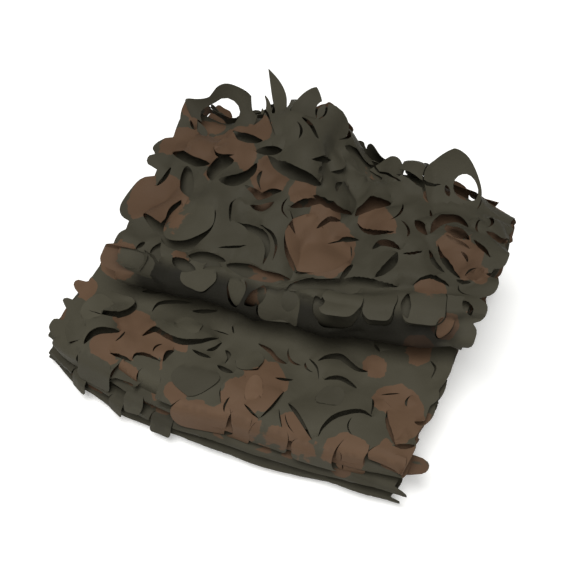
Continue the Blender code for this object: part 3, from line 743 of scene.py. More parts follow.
class Leaf:
    """A C-shaped cut and its tongue, measured from the middle of its hinge towards its tip."""

    def __init__(self, foot, turn, length, side, rng, **look):
        self.u, self.v = foot
        self.turn, self.length, self.side = turn, length, side
        self.look = dict(LEAF_DEFAULTS, **look)
        self.radius = length / (1 + self.look["point"] + math.cos(LEAF_OPEN / 2))
        self.centre = self.radius * math.cos(LEAF_OPEN / 2)
        self.crook = [rng.uniform(-1, 1) * CROOKED for _ in range(3)]
        sweep = math.pi - LEAF_OPEN / 2
        drawn_out = self.radius * (1 + self.look["point"])
        steps = max(RIM_LEAST_STEPS, round(2 * sweep * drawn_out / RIM_STEP))
        self.angles = np.linspace(-sweep, sweep, steps + 1)
        self.middle_line = self.to_flat(*self.rim(self.angles))
        self.middle = np.array(self.to_flat(self.centre, 0.0))
        self.reach = np.hypot(*(self.middle_line - self.middle).T).max() + self.look["gap"] * MM

    def rim(self, angle, offset=0.0):
        """Places on the cut by their angle from the tip, or beside it by an offset."""
        waves = 0.0
        for k, crook in enumerate(self.crook):
            waves = waves + crook * np.sin((k + 2) * angle + 5 * crook / CROOKED)
        away_from_hinge = 1 - np.abs(angle / self.angles[-1]) ** 4
        drawn = self.look["point"] * np.maximum(0.0, np.cos(angle)) ** 3
        reach = self.radius * (1 + drawn + waves * away_from_hinge)
        ahead = self.centre + (reach + offset) * np.cos(angle)
        narrow = np.maximum(np.abs(np.sin(angle)), 1e-3) ** self.look["sharp"]
        taper = np.where(np.cos(angle) > 0, narrow, 1.0)
        return ahead, (reach * self.look["width"] + offset) * np.sin(angle) * taper

    def to_flat(self, ahead, beside):
        return turned_place((self.u, self.v), self.turn, ahead, beside)

    def from_flat(self, flat):
        c, s = math.cos(self.turn), math.sin(self.turn)
        du, dv = flat[:, 0] - self.u, flat[:, 1] - self.v
        return du * c + dv * s, -du * s + dv * c

    def outlines(self):
        """The cut as a closed line, out along one side and back along the other, and the hole."""
        share = np.abs(np.sin(math.pi * np.linspace(0, 1, len(self.angles)))) ** GAP_BLUNTNESS
        half = self.look["gap"] * MM / 2 * share
        outer = self.to_flat(*self.rim(self.angles, half))
        inner = self.to_flat(*self.rim(self.angles, -half))
        lines = [np.concatenate([outer, inner[-2:0:-1]])]
        if self.look["hole"]:
            turns = np.linspace(0, 2 * math.pi, HOLE_CORNERS, endpoint=False)
            size, beside = self.radius * self.look["hole"], self.radius * self.look["hole_beside"]
            across = beside + size * self.look["width"] * np.sin(turns)
            lines.append(self.to_flat(self.centre + size * np.cos(turns), across))
        return lines

    def holds(self, flat):
        ahead, _ = self.from_flat(flat)
        return (ahead > HINGE_DEPTH) & inside(flat, self.middle_line)

    def path(self, t):
        """How far out and how high the tongue is, t of the way from its hinge to its tip."""
        steps = (np.arange(PATH_STEPS) + 0.5) / PATH_STEPS
        look = self.look
        angle = look["lift"] * ease(steps / LIFT_WITHIN) + look["curl"] * steps**CURL_POWER
        angle = np.radians(angle - look["droop"] * ease(steps / DROOP_WITHIN))
        at = np.linspace(0, 1, PATH_STEPS + 1)
        size = self.length * look["grow"] / PATH_STEPS
        out = np.concatenate([[0], np.cumsum(np.cos(angle))]) * size
        up = np.concatenate([[0], np.cumsum(np.sin(angle))]) * size
        return np.interp(t, at, out), np.interp(t, at, up)

    def stand(self, cloth, flat):
        """The folded places of the tongue's flat ones."""
        look = self.look
        ahead, beside = self.from_flat(flat)
        t = ahead / self.length
        out, up = self.path(t)
        across = beside * (1 + (look["grow"] - 1) * ease(t / SPREAD_WITHIN))
        part = across / (self.radius * look["width"])
        up = up + self.radius * t * (look["cup"] * part**2 + look["twist"] * part)
        toward_u, toward_v, normal = cloth.directions(self.u, self.v)
        c, s = math.cos(self.turn), math.sin(self.turn)
        foot = cloth.sample(cloth.grid, *self.to_flat(0.0 * beside, beside).T)
        straight = foot + np.outer(out, toward_u * c + toward_v * s) + np.outer(up * self.side, normal)
        straight += np.outer(across - beside, toward_v * c - toward_u * s)
        if look["stiff"] == 1:
            return straight
        place = self.to_flat(out, across).T
        low = np.maximum(up, CLEARANCE * ease(t / CLEAR_WITHIN)) * self.side
        laid = cloth.sample(cloth.grid, *place) + cloth.sample(cloth.normal, *place) * low[:, None]
        return straight * look["stiff"] + laid * (1 - look["stiff"])


# %% [markdown]
# ## A cut that opens
#
# Most cuts show as a curved dark line or as a lens-shaped opening, because the cloth on one side
# rides up over the other. So an open cut is a line with a width, and its upper lip is lifted
# the most right beside it, while the lower lip sinks a little.

# %% Open cut
CUT_BLUNTNESS = 0.7
LIP_BLUNTNESS = 0.6
SINK_SHARE = 0.4  # the lower lip sinks this much of what the upper one is lifted
LIP_REACH = 2.2  # a lip comes back down to the cloth this many lip widths from its rim
LIP_BEND = 1.4  # 1 would be a flat ramp, more is a rim that curls


class OpenCut:
    """An opening along a line of flat places. Its left lip is lifted, or below zero its right one."""

    def __init__(self, line, side, width, lift, lip):
        self.middle_line, self.side = line, side
        self.width, self.lift, self.lip_width = width, lift, lip
        self.steps = np.diff(line, axis=0)
        self.lengths = np.hypot(*self.steps.T)
        self.shares = np.concatenate([[0.0], np.cumsum(self.lengths)]) / self.lengths.sum()
        self.middle = line[len(line) // 2]
        self.reach = np.hypot(*(line - self.middle).T).max() + width

    def outlines(self):
        """The two rims, which meet at both ends."""
        ahead = np.gradient(self.middle_line, axis=0)
        ahead /= np.hypot(*ahead.T)[:, None]
        left = np.stack([-ahead[:, 1], ahead[:, 0]], axis=1)
        half = self.width / 2 * np.sin(math.pi * self.shares)[:, None].clip(0, 1) ** CUT_BLUNTNESS
        first, second = self.middle_line + left * half, self.middle_line - left * half
        return [np.concatenate([first, second[-2:0:-1]])]

    def height(self, flat):
        """How far the two lips stand up or sink at flat places."""
        away = flat[:, None] - self.middle_line[None, :-1]
        t = np.clip((away * self.steps).sum(axis=2) / self.lengths**2, 0, 1)
        apart = np.hypot(*(away - self.steps * t[..., None]).transpose(2, 0, 1))
        nearest = apart.argmin(axis=1)
        pick = np.arange(len(flat))
        step, offset = self.steps[nearest], away[pick, nearest]
        on_left = step[:, 0] * offset[:, 1] - step[:, 1] * offset[:, 0] > 0
        share = self.shares[nearest] + t[pick, nearest] * self.lengths[nearest] / self.lengths.sum()
        window = np.sin(math.pi * share.clip(0, 1)).clip(0, 1) ** LIP_BLUNTNESS
        part = np.where(on_left == (self.lift > 0), 1.0, -SINK_SHARE)
        slope = (1 - apart[pick, nearest] / (LIP_REACH * self.lip_width)).clip(0, 1) ** LIP_BEND
        return self.side * abs(self.lift) * part * window * slope


# %% [markdown]
# ## The side edges
#
# The cloth has no hem: its side edges are the outer halves of more leaves, so they run in round
# lobes with sharp notches between them. A few longer tabs stand where the photo shows them. The
# edges are made before the cuts, because no cut may run into one.

# %% Sizes of the side edges
SEED = 23  # all that is thrown at random starts here, so each run makes the same net
EDGE_STEP = 3.2 * MM
LOBE_WIDTHS = (20 * MM, 64 * MM)
LOBE_HEIGHTS = (0.5 * MM, 8 * MM)
LOBE_INSET = 2.5 * MM
LOBE_LEANS = (0.15, 0.35, 0.5, 0.65, 0.85)  # where along the lobe its tip is
LOBE_BLUNTNESSES = (0.35, 0.6, 1.0, 1.5)
LOBE_PACES = (0.8, 1.0)  # the next lobe starts after this share of a lobe's width
TAB_SQUARENESS = 2.6  # at 2 a tab would be half an ellipse

# x is how far the tab reaches and width its length along the edge, in millimetres
TAB_COLUMNS = ("side", "piece", "along", "x", "width")
TAB_ROWS = (
    ("left", "roll_top", 0.35, -196, 26),
    ("left", "roll_top", 0.48, -192, 16),
    ("left", "roll_top", 0.74, -201, 56),
    ("right", "roll_top", 0.52, 226, 40),
    ("right", "roll_back", 0.88, 214, 50),
    ("right", "roll_top", 0.86, 227, 44),
    ("right", "roll_nose", 0.16, 226, 30),
    ("right", "roll_nose", 0.42, 223, 26),
    ("left", "roll_nose", 0.10, -170, 15),
    ("left", "roll_nose", 0.29, -190, 34),
    ("left", "stack_top", 0.02, -224, 22),
    ("left", "stack_top", 0.13, -226, 12),
    ("left", "stack_top", 0.22, -226, 18),
    ("left", "front_fold_3", 0.5, -227, 34),
    ("right", "stack_5", 0.96, 223, 26),
    ("right", "front_fold_2", 0.50, 212, 16),
    ("right", "front_fold_1", 0.40, 206, 12),
    ("right", "stack_6", 0.90, 216, 34),
)


# %% Side edges
def plain_edge(cloth, side):
    """A side edge without lobes: flat lengths and the flat width at each."""
    ends_of_runs, values = [], []
    runs = [piece for piece in cloth.pieces if not piece.is_turn]
    for row, piece in zip(cloth.section.layers, runs):
        y = smooth_grid[[piece.first, piece.last], 0, 1]
        ends = ("front", "back") if y[0] < y[1] else ("back", "front")
        ends_of_runs += [cloth.u[piece.first], cloth.u[piece.last]]
        values += [row[f"{side}_{end}"] * MM for end in ends]
    u = np.arange(0, cloth.u[-1], EDGE_STEP)
    u[-1] = cloth.u[-1]
    return u, np.interp(u, ends_of_runs, values)


def side_edge(cloth, side, rng):
    """The same edge with its lobes and tabs."""
    u, edge = plain_edge(cloth, side)
    out = -1 if side == "left" else 1
    edge = edge - out * LOBE_INSET
    start = 0.0
    while start < u[-1]:
        width, height = rng.uniform(*LOBE_WIDTHS), rng.uniform(*LOBE_HEIGHTS)
        lean, bluntness = rng.choice(LOBE_LEANS), rng.choice(LOBE_BLUNTNESSES)
        t = (u - start) / width
        on = (t > 0) & (t < 1)
        rise = np.minimum(t[on] / lean, (1 - t[on]) / (1 - lean))
        edge[on] += out * height * np.sin(math.pi / 2 * rise) ** bluntness
        start += width * rng.uniform(*LOBE_PACES)
    for row in table(TAB_COLUMNS, TAB_ROWS):
        if row["side"] == side:
            half = row["width"] * MM / 2
            t = (u - cloth.place_on(row["piece"], row["along"])) / half
            on = np.abs(t) < 1
            share = (1 - np.abs(t[on]) ** TAB_SQUARENESS) ** 0.5
            edge[on] += (row["x"] * MM - edge[on]) * share
    return u, edge


rng = random.Random(SEED)
edges = [side_edge(cloth, side, rng) for side in ("left", "right")]
widths = edges[1][1] - edges[0][1]
print(f"the cloth is {widths.min() / MM:.0f} to {widths.max() / MM:.0f} mm wide")

# %% [markdown]
# ## One list of cuts
#
# Where two cuts cross, a piece of the cloth would fall out. So all cuts are kept in one list, and
# a random one is refused if it comes too close to another cut or to an edge, if it lies in a
# leaf, or if a cut lies in it. Cuts that are listed in the tables are taken as they are.

# %% The list of cuts
CUTS_APART = 2.2 * MM
EDGE_APART = 5 * MM


def swallows(leaf, cut):
    """Whether a leaf would hold the middle of another cut."""
    return isinstance(leaf, Leaf) and inside(cut.middle[None], leaf.middle_line)[0]


class Cutter:
    def __init__(self, edges):
        self.edges = edges
        self.cuts = []
        self.rng = random.Random(SEED)

    def clear(self, cut):
        low, high = (np.interp(cut.middle_line[:, 0], *edge) for edge in self.edges)
        v = cut.middle_line[:, 1]
        if (v < low + EDGE_APART).any() or (v > high - EDGE_APART).any():
            return False
        for other in self.cuts:
            if math.hypot(*(cut.middle - other.middle)) > cut.reach + other.reach + CUTS_APART:
                continue
            apart = cut.middle_line[:, None] - other.middle_line[None]
            if np.hypot(*apart.transpose(2, 0, 1)).min() < CUTS_APART + RIM_STEP / 2:
                return False
            if swallows(cut, other) or swallows(other, cut):
                return False
        return True

    def add(self, cut):
        if self.clear(cut):
            self.cuts.append(cut)


cutter = Cutter(edges)
print(f"random cuts stay {CUTS_APART / MM:.1f} mm apart and {EDGE_APART / MM:.0f} mm from the edges")

# %% [markdown]
# ## Leaves that stand out on the skyline
#
# Along the roll's upper back edge a few leaves stand up against the background. Two of them have
# a second hole punched in them, so they are open loops, and one is drawn out into a long spike.
# The photo's pixels can't place them, because there is no cloth behind a skyline to hit. So each
# has a place on the roll and the radius of its punch instead.

# %% Leaves on the skyline
SKYLINE_PIECE = "roll_top"
STANDING = dict(stiff=1, grow=1.0, gap=3)
LEFT_LOOP = dict(lift=16, curl=52, point=0.1, width=1.18, hole=0.58, hole_beside=0.1, tone=-2)
SPIKE = dict(lift=14, curl=62, point=3.2, width=0.6, sharp=1.0)
RIGHT_LOOP = dict(
    lift=11, curl=38, point=0.30, sharp=0.40, hole=0.43, hole_beside=-0.42, tone=-2
)

# x and radius in millimetres, turn in degrees from the direction in which the cloth runs
SKYLINE_COLUMNS = ("along", "x", "radius", "turn", "look")
SKYLINE_ROWS = (
    (0.03, -129, 34, 184, LEFT_LOOP),
    (0.02, -87, 9, 186, dict(lift=14, curl=50, point=1.2, width=0.8, sharp=0.9)),
    (0.02, -69, 13, 199, SPIKE),
    (0.02, -35, 17, 180, dict(lift=10, curl=40, point=0.6, width=1.1, sharp=0.6)),
    (0.01, -5, 16, 180, dict(lift=10, curl=36, point=0.0, width=1.2, sharp=-0.5)),
    (0.03, 64, 20, 184, dict(lift=8, curl=26, point=0.3)),
    (0.04, 142, 34, 200, RIGHT_LOOP),
)


def cut_skyline(cloth, cutter):
    for row in table(SKYLINE_COLUMNS, SKYLINE_ROWS):
        turn, radius = math.radians(row["turn"]), row["radius"] * MM
        back = radius * math.cos(LEAF_OPEN / 2)
        foot_u = cloth.place_on(SKYLINE_PIECE, row["along"]) - back * math.cos(turn)
        foot = foot_u, row["x"] * MM - back * math.sin(turn)
        length = radius * (1 + row["look"]["point"]) + back
        look = dict(STANDING, **row["look"])
        cutter.cuts.append(Leaf(foot, turn, length, side_of(SKYLINE_PIECE), cutter.rng, **look))


cut_skyline(cloth, cutter)
print(len(SKYLINE_ROWS), "leaves stand out on the skyline")

# %% [markdown]
# ## Flaps
#
# Large leaves lie on top of the roll, stick out under its nose and hang over the front edge of
# the stack. Each is placed through the camera, by the pixel of its hinge. The ones on the edge
# are stiff, so they leave the cloth straight and then droop by their own weight.

# %% Flaps on the roll, at its nose and over the front edge
# x and y are photo pixels, length is in millimetres and turn in degrees
FLAP_COLUMNS = ("x", "y", "length", "turn", "look")
NOSE_FLAP = dict(stiff=0.5, lift=6, curl=-12, grow=1.03)
NOSE_FLAP_ROWS = (
    (237, 280, 30, 8, dict(width=0.7, point=0.4, sharp=0.3)),
    (285, 292, 38, 0, dict(width=0.95, sharp=-0.75)),
    (347, 293, 40, -2, dict(width=0.85, sharp=-0.65)),
    (384, 295, 36, 3, dict(width=0.70, sharp=-0.6)),
    (203, 267, 27, -12, dict(width=1.15, sharp=-0.5)),
    (428, 293, 46, 8, dict(width=0.82, point=0.2, sharp=-0.2)),
    (449, 318, 26, -6, dict(width=0.6, point=0.3, sharp=0.2)),
)
TOP_FLAP = dict(stiff=0.3, lift=9, curl=10, gap=6)
TOP_FLAP_ROWS = (
    (199, 205, 50, -8, dict(stiff=0.9, lift=24, curl=6, cup=-0.2, width=0.85)),
    (329, 232, 56, -10, dict(lift=10, cup=-0.1, light=1.0)),
)
FRONT_FLAP = dict(stiff=1, lift=6, curl=-8, droop=74, grow=1.03, sharp=-0.75, cup=-0.05)
FRONT_FLAP_ROWS = (
    (66, 345, 30, 176, dict(width=1.1)),
    (97, 357, 40, 180, dict(width=0.95)),
    (131, 364, 30, 182, dict(width=0.75, tone=2.6)),
    (152, 372, 38, 176, dict(width=0.62)),
    (205, 404, 40, 178, dict(width=1.35, tone=0.8)),
    (243, 414, 44, 186, dict(width=0.50, tone=0.8)),
    (272, 427, 34, 178, dict(width=1.0, tone=0.4)),
    (318, 444, 32, 178, dict(width=1.35)),
    (357, 442, 44, 182, dict(width=0.60, tone=0.8)),
    (393, 450, 40, 192, dict(width=0.80, tone=0.8)),
)
FLAP_KINDS = (
    (TOP_FLAP_ROWS, TOP_FLAP),
    (NOSE_FLAP_ROWS, NOSE_FLAP),
    (FRONT_FLAP_ROWS, FRONT_FLAP),
)


def hang_flaps(cloth, finder, cutter):
    for rows, shared in FLAP_KINDS:
        for row in table(FLAP_COLUMNS, rows):
            foot = finder.flat_place(row["x"], row["y"])
            side = side_of(cloth.piece_at(foot[0]).name)
            turn, length = math.radians(row["turn"]), row["length"] * MM
            look = dict(shared, **row["look"])
            cutter.cuts.append(Leaf(foot, turn, length, side, cutter.rng, **look))


hang_flaps(cloth, finder, cutter)
print(sum(len(rows) for rows, _ in FLAP_KINDS), "flaps")

# %% [markdown]
# ## Cuts that the photo shows
#
# The cuts that can be told apart in the photo are listed with the pixels of their line. Each
# pixel is looked up on the folded cloth, so the cut is made in the flat cloth, lies where the
# photo shows it, and follows the fold it is on. Left is meant as seen in the photo, walking
# along the line.

# %% Cuts seen on the roll
# width in photo pixels, lift and lip in millimetres
CUT_COLUMNS = ("line", "width", "lift", "lip")
ROLL_CUT_ROWS = (
    (((190, 120), (192, 126), (195, 131)), 2, 3, 8),
    (((202, 117), (209, 124), (211, 132), (206, 141)), 4, 4, 10),
    (((232, 132), (240, 137), (252, 140), (264, 142)), 7, 5.5, 12),
    (((256, 152), (270, 151), (285, 150)), 7, 5.5, 12),
    (((268, 156), (280, 166), (296, 172), (310, 178), (322, 184)), 12.5, 12.5, 26),
    (((312, 196), (330, 205), (352, 215)), 4, 10, 24),
    (((355, 217), (364, 211), (376, 205), (391, 204)), 11, 8.5, 18),
    (((310, 160), (320, 161), (335, 165)), 5, 4, 12),
    (((234, 161), (222, 164), (215, 170), (212, 181)), 14, -7, 16),
    (((219, 180), (236, 181), (250, 175), (257, 163)), 11, 5.5, 12),
    (((245, 186), (254, 192), (262, 198), (270, 192), (281, 190)), 5.5, 5.5, 12),
    (((240, 197), (232, 203), (230, 212), (230, 222)), 2, 4, 12),
    (((290, 207), (303, 203), (320, 200)), 7, 5.5, 12),
    (((290, 210), (293, 222), (298, 236)), 4, -5.5, 14),
    (((317, 228), (324, 222), (330, 218), (341, 221)), 5, 4, 10),
    (((186, 164), (187, 178), (190, 199)), 12.5, -7, 14),
    (((157, 186), (165, 178), (171, 167)), 3, 4, 10),
    (((143, 215), (149, 221), (157, 229), (166, 240)), 5, 12.5, 26),
    (((160, 242), (155, 252), (160, 263)), 14, 5.5, 12),
    (((188, 257), (205, 259), (226, 262)), 14, 5.5, 12),
    (((172, 258), (182, 266), (196, 270)), 12, 5.5, 12),
    (((236, 222), (250, 228), (263, 236), (268, 250), (264, 264)), 5.5, -7, 18),
    (((258, 225), (271, 233), (276, 246), (273, 261)), 3, 4, 10),
    (((226, 265), (246, 271), (266, 277), (290, 280)), 14, 9, 18),
    (((284, 290), (302, 286), (330, 284), (365, 284), (398, 287)), 9, 10, 20),
    (((290, 285), (293, 276), (304, 269)), 3, -3, 8),
    (((337, 279), (345, 273), (352, 268)), 5, 5.5, 12),
    (((263, 106), (270, 119), (277, 137)), 3, 5.5, 14),
    (((303, 118), (312, 127), (317, 141)), 2, 4, 12),
    (((172, 153), (182, 157), (200, 164), (211, 166)), 5, 12.5, 24),
    (((349, 151), (360, 159), (368, 170), (381, 180)), 12.5, -11, 22),
    (((373, 159), (381, 168), (391, 176), (401, 181)), 3, 5.5, 12),
    (((396, 173), (408, 175), (424, 185), (441, 187)), 5, 7, 14),
    (((445, 188), (449, 198)), 5.5, 3, 8),
    (((414, 221), (419, 228), (427, 235)), 4, 7, 20),
    (((429, 234), (437, 226), (447, 221), (458, 220), (468, 227)), 3, 8.5, 18),
    (((446, 223), (455, 233), (466, 241)), 14, 3, 8),
    (((437, 244), (441, 256), (448, 268), (460, 279)), 4, 8.5, 18),
    (((429, 249), (434, 262), (444, 273)), 3, 4, 12),
    (((456, 280), (463, 283), (471, 283)), 5, 3, 8),
    (((470, 240), (480, 248), (489, 257)), 3, 4, 10),
    (((484, 232), (498, 240), (511, 243)), 5.5, 5.5, 12),
    (((357, 223), (364, 231), (378, 234), (394, 233)), 3.5, 5.5, 12),
    (((372, 250), (380, 244), (390, 244), (400, 250)), 5.5, 5.5, 12),
    (((397, 252), (393, 263), (385, 273), (376, 279)), 7, -7, 16),
    (((402, 254), (411, 254), (422, 251)), 2, 3, 8),
    (((407, 294), (406, 306), (409, 320)), 9, 4, 10),
    (((412, 286), (420, 280), (430, 277), (441, 281), (449, 287)), 4, 4, 10),
    (((463, 301), (468, 309), (471, 316)), 7, 3, 8),
    (((486, 274), (498, 277)), 5, 3, 8),
    (((315, 296), (318, 307), (316, 319)), 14, 5.5, 12),
    (((244, 305), (253, 300), (260, 293), (263, 286)), 14, 5.5, 12),
)

# %% Cuts seen on the stack
STACK_CUT_ROWS = (
    (
        ((113, 292), (123, 297), (133, 300), (136, 306), (130, 312), (118, 316), (104, 315), (90, 311)),
        2.5,
        -7,
        16,
    ),
    (((142, 291), (160, 292), (179, 289)), 3, 5.5, 12),
    (((152, 312), (158, 304), (171, 302), (193, 303)), 2, 4, 12),
    (((192, 311), (204, 312), (218, 311)), 2, 4, 10),
    (((84, 344), (92, 335), (102, 331), (120, 331)), 3.5, 8.5, 18),
    (((142, 336), (150, 332), (156, 330), (166, 336), (181, 342), (200, 342), (218, 340)), 3, 8.5, 18),
    (((206, 351), (214, 349), (222, 343)), 2, 4, 12),
    (((225, 350), (229, 357), (225, 365)), 3.5, 4, 10),
    (((163, 361), (168, 353), (174, 350)), 3, 5.5, 12),
    (((221, 404), (220, 392), (224, 384), (233, 378), (246, 377)), 2.5, -7, 16),
    (((244, 404), (251, 412), (259, 419)), 2, 4, 10),
    (((258, 344), (270, 352), (277, 360), (287, 364)), 2, 5.5, 14),
    (((318, 362), (327, 358), (340, 358), (350, 366), (358, 371), (368, 372)), 2, 7, 16),
    (((309, 359), (317, 368), (319, 380)), 1.5, 3, 10),
    (((324, 380), (335, 378), (344, 380), (357, 389)), 2, 5.5, 12),
    (((288, 403), (297, 415), (305, 428), (312, 440)), 2, 7, 18),
    (((279, 408), (280, 418), (282, 428)), 1.5, -3, 8),
    (((260, 418), (271, 408), (284, 392)), 1.5, 5.5, 14),
    (((318, 437), (323, 428), (334, 418), (348, 413), (362, 412), (372, 417)), 2, 7, 18),
    (((386, 412), (387, 425), (395, 446)), 2, 5.5, 14),
    (((414, 422), (420, 424), (427, 422)), 3.5, 3, 8),
    (((430, 361), (435, 369), (431, 379)), 1.5, 3, 8),
    (((374, 345), (380, 352)), 2, 3, 8),
    (((110, 353), (122, 357), (132, 361)), 2, 5.5, 12),
    (((132, 360), (137, 354), (150, 356), (161, 361)), 1.5, 4, 10),
    (((232, 326), (234, 334)), 2, 3, 8),
    (((372, 400), (372, 408), (370, 417)), 1.5, 3, 10),
    (((394, 446), (404, 448), (415, 446)), 2, 7, 14),
    (((112, 384), (136, 395), (164, 407)), 1.5, 3, 8),
    (((364, 458), (382, 468), (400, 475)), 1.5, 3, 8),
)
print(len(ROLL_CUT_ROWS), "cuts seen on the roll and", len(STACK_CUT_ROWS), "on the stack")


# %% A curve through photo pixels
PIXEL = 1.1 * MM  # what one photo pixel covers on the cloth
CURVE_STEP = 2.4  # photo pixels between two places of a cut's line


def photo_curve(pixels):
    """A curve through a few photo pixels, each stretch bent by the pixels on both sides of it."""
    knots = np.array([pixels[0], *pixels, pixels[-1]], float)
    curve = []
    for k in range(1, len(knots) - 2):
        p0, p1, p2, p3 = knots[k - 1 : k + 3]
        steps = max(1, round(math.hypot(*(p2 - p1)) / CURVE_STEP))
        last = k == len(knots) - 3
        for t in np.arange(steps + last) / steps:
            bend = 2 * p1 + (p2 - p0) * t + (2 * p0 - 5 * p1 + 4 * p2 - p3) * t**2
            curve.append((bend + (3 * p1 - p0 - 3 * p2 + p3) * t**3) / 2)
    return np.array(curve)


# %% The same curve on the flat cloth
JUMP = 6 * CURVE_STEP * PIXEL  # a line that jumps this far has run off the fold that it is on
SLIDE = 2 * CURVE_STEP * PIXEL


def slid(cloth, flat, x, y):
    """The flat place at a pixel, read on the plane of the cloth at a place nearby."""
    foot = cloth.sample(cloth.grid, flat[:1], flat[1:])[0]
    toward_u, toward_v, normal = cloth.directions(*flat)
    origin, ray = (np.array(part) for part in photo_ray(x, y))
    reach = origin + ray * (((foot - origin) @ normal) / (ray @ normal)) - foot
    limit = min(1.0, SLIDE / (np.linalg.norm(reach) + 1e-9))
    return flat + limit * np.array([reach @ toward_u, reach @ toward_v])


def flat_line(cloth, finder, pixels):
    """A curve through photo pixels, as a line of flat places on one side of the cloth."""
    line = []
    for x, y in photo_curve(pixels):
        found = np.array(finder.flat_place(x, y))
        if line and math.hypot(*(found - line[-1])) > JUMP:
            found = slid(cloth, line[-1], x, y)
        line.append(found)
    return np.array(line)


# %% Opening the cuts
def open_seen_cuts(cloth, finder, cutter):
    for row in table(CUT_COLUMNS, ROLL_CUT_ROWS + STACK_CUT_ROWS):
        line = flat_line(cloth, finder, row["line"])
        side = side_of(cloth.piece_at(line[len(line) // 2][0]).name)
        # on the roll's side of the cloth, left in the photo is left on the flat cloth as well
        lift, width = -side * row["lift"] * MM, row["width"] * PIXEL
        cutter.cuts.append(OpenCut(line, side, width, lift, row["lip"] * MM))


open_seen_cuts(cloth, finder, cutter)
seen = len(cutter.cuts)
print(seen, "cuts are placed by hand")

# %% [markdown]
# ## The other leaves
#
# Everywhere else the leaves are thrown like darts: a random place, size and direction is kept
# if it stays clear of all the cuts before it. Large ones go first and small ones fill what is
# left. Over the front and back edges of the stack they droop, because nothing carries them there.

# %% Where leaves are thrown
# low and high are shares of the piece, sizes are in millimetres, and angles in degrees
ZONE_COLUMNS = ("piece", "low", "high", "tries", "small", "large", "turn", "swing", "look")
OVER_EDGE = dict(FRONT_FLAP, point=0.0, width=0.75)
ZONE_ROWS = (
    ("roll_back", 0.10, 0.55, 160, 36, 48, 0, 60, dict(lift=16, curl=12)),
    ("stack_top", 0.005, 0.012, 8, 24, 36, 180, 16, OVER_EDGE),
    *((f"front_fold_{k}", 0.80, 1.00, 4, 20, 30, 180, 16, OVER_EDGE) for k in (3, 2)),
    ("roll_nose", 0.04, 0.20, 90, 20, 28, 0, 60, dict(lift=14, curl=6)),
    ("roll_back", 0.08, 0.70, 260, 22, 34, 0, 180, dict(lift=14, curl=14)),
    ("stack_top", 0.03, 0.28, 70, 20, 32, 180, 180, dict(lift=8, curl=10)),
    *((f"back_fold_{k}", 0.80, 1.00, 30, 20, 34, 180, 16, OVER_EDGE) for k in (0, 1, 2, 3)),
    ("roll_back", 0.08, 0.74, 300, 14, 20, 0, 180, dict(lift=12, curl=20)),
)
SHAPE_POINTS = (0.0, 0.0, 0.3, 0.7)
SHAPE_WIDTHS = (0.7, 0.9, 1.0, 1.15, 1.3)
SHAPE_SHARPS = (-0.45, -0.3, 0.0, 0.5, 0.9, 1.1)
TONES = (-0.5, 0.5)
CUPS = (-0.25, 0.1)
TWISTS = (-0.2, 0.2)
LIFT_SHARES = (0.3, 1.7)  # of the lift in the table
CURL_SHARES = (0.0, 2.0)


# %% Leaves thrown at random
def random_look(rng, shared):
    look = dict(point=rng.choice(SHAPE_POINTS), width=rng.choice(SHAPE_WIDTHS))
    look.update(sharp=rng.choice(SHAPE_SHARPS), tone=rng.uniform(*TONES))
    look.update(cup=rng.uniform(*CUPS), twist=rng.uniform(*TWISTS))
    look.update(shared)
    look["lift"] = look["lift"] * rng.uniform(*LIFT_SHARES)
    look["curl"] = look["curl"] * rng.uniform(*CURL_SHARES)
    return look


def throw_leaves(cloth, cutter):
    rng = cutter.rng
    for row in table(ZONE_COLUMNS, ZONE_ROWS):
        before = len(cutter.cuts)
        for _ in range(row["tries"]):
            along = rng.uniform(row["low"], row["high"])
            place = cloth.place_on(row["piece"], along), rng.uniform(GRID_LEFT, GRID_RIGHT)
            turn = math.radians(row["turn"] + rng.uniform(-1, 1) * row["swing"])
            length = rng.uniform(row["small"], row["large"]) * MM
            look = random_look(rng, row["look"])
            cutter.add(Leaf(place, turn, length, side_of(row["piece"]), rng, **look))
        made = len(cutter.cuts) - before
        print(f"  {row['piece']}: {made} leaves of {row['small']} to {row['large']} mm")


throw_leaves(cloth, cutter)

# %% [markdown]
# ## Slits
#
# A leaf that lies shut shows only as a short curved slit. These fill what is left of the layers
# that are seen, and keep clear of the side lobes.

# %% Slits thrown at random
SLIT_COLUMNS = ("piece", "low", "high", "tries", "small", "large", "lift")
SLIT_ROWS = (
    ("roll_top", 0.03, 0.97, 160, 16, 34, 7),
    ("roll_nose", 0.03, 0.24, 30, 12, 24, 6),
    ("roll_back", 0.10, 0.80, 200, 16, 36, 7),
    ("stack_top", 0.01, 0.30, 90, 14, 34, 4),
)
SLIT_ACROSS = (-172 * MM, 198 * MM)
SLIT_BEND = 0.34  # how deep the most curved one is, as a share of its length
SLIT_WIDTHS = (1.6, 4.0)
SLIT_POINTS = 9


def throw_slits(cloth, cutter):
    rng = cutter.rng
    t = np.linspace(-0.5, 0.5, SLIT_POINTS)
    for row in table(SLIT_COLUMNS, SLIT_ROWS):
        before = len(cutter.cuts)
        for _ in range(row["tries"]):
            u = cloth.place_on(row["piece"], rng.uniform(row["low"], row["high"]))
            v, turn = rng.uniform(*SLIT_ACROSS), rng.uniform(0, 2 * math.pi)
            length = rng.uniform(row["small"], row["large"]) * MM
            bend = rng.uniform(-1, 1) * SLIT_BEND
            line = turned_place((u, v), turn, length * t, length * bend * (1 - 4 * t * t))
            width, lift = rng.uniform(*SLIT_WIDTHS) * MM, row["lift"] * rng.uniform(-1, 1) * MM
            cutter.add(OpenCut(line, side_of(row["piece"]), width, lift, length / 2))
        print(f"  {row['piece']}: {len(cutter.cuts) - before} slits")


throw_slits(cloth, cutter)
print(f"{len(cutter.cuts)} cuts, {seen} of them placed by hand")

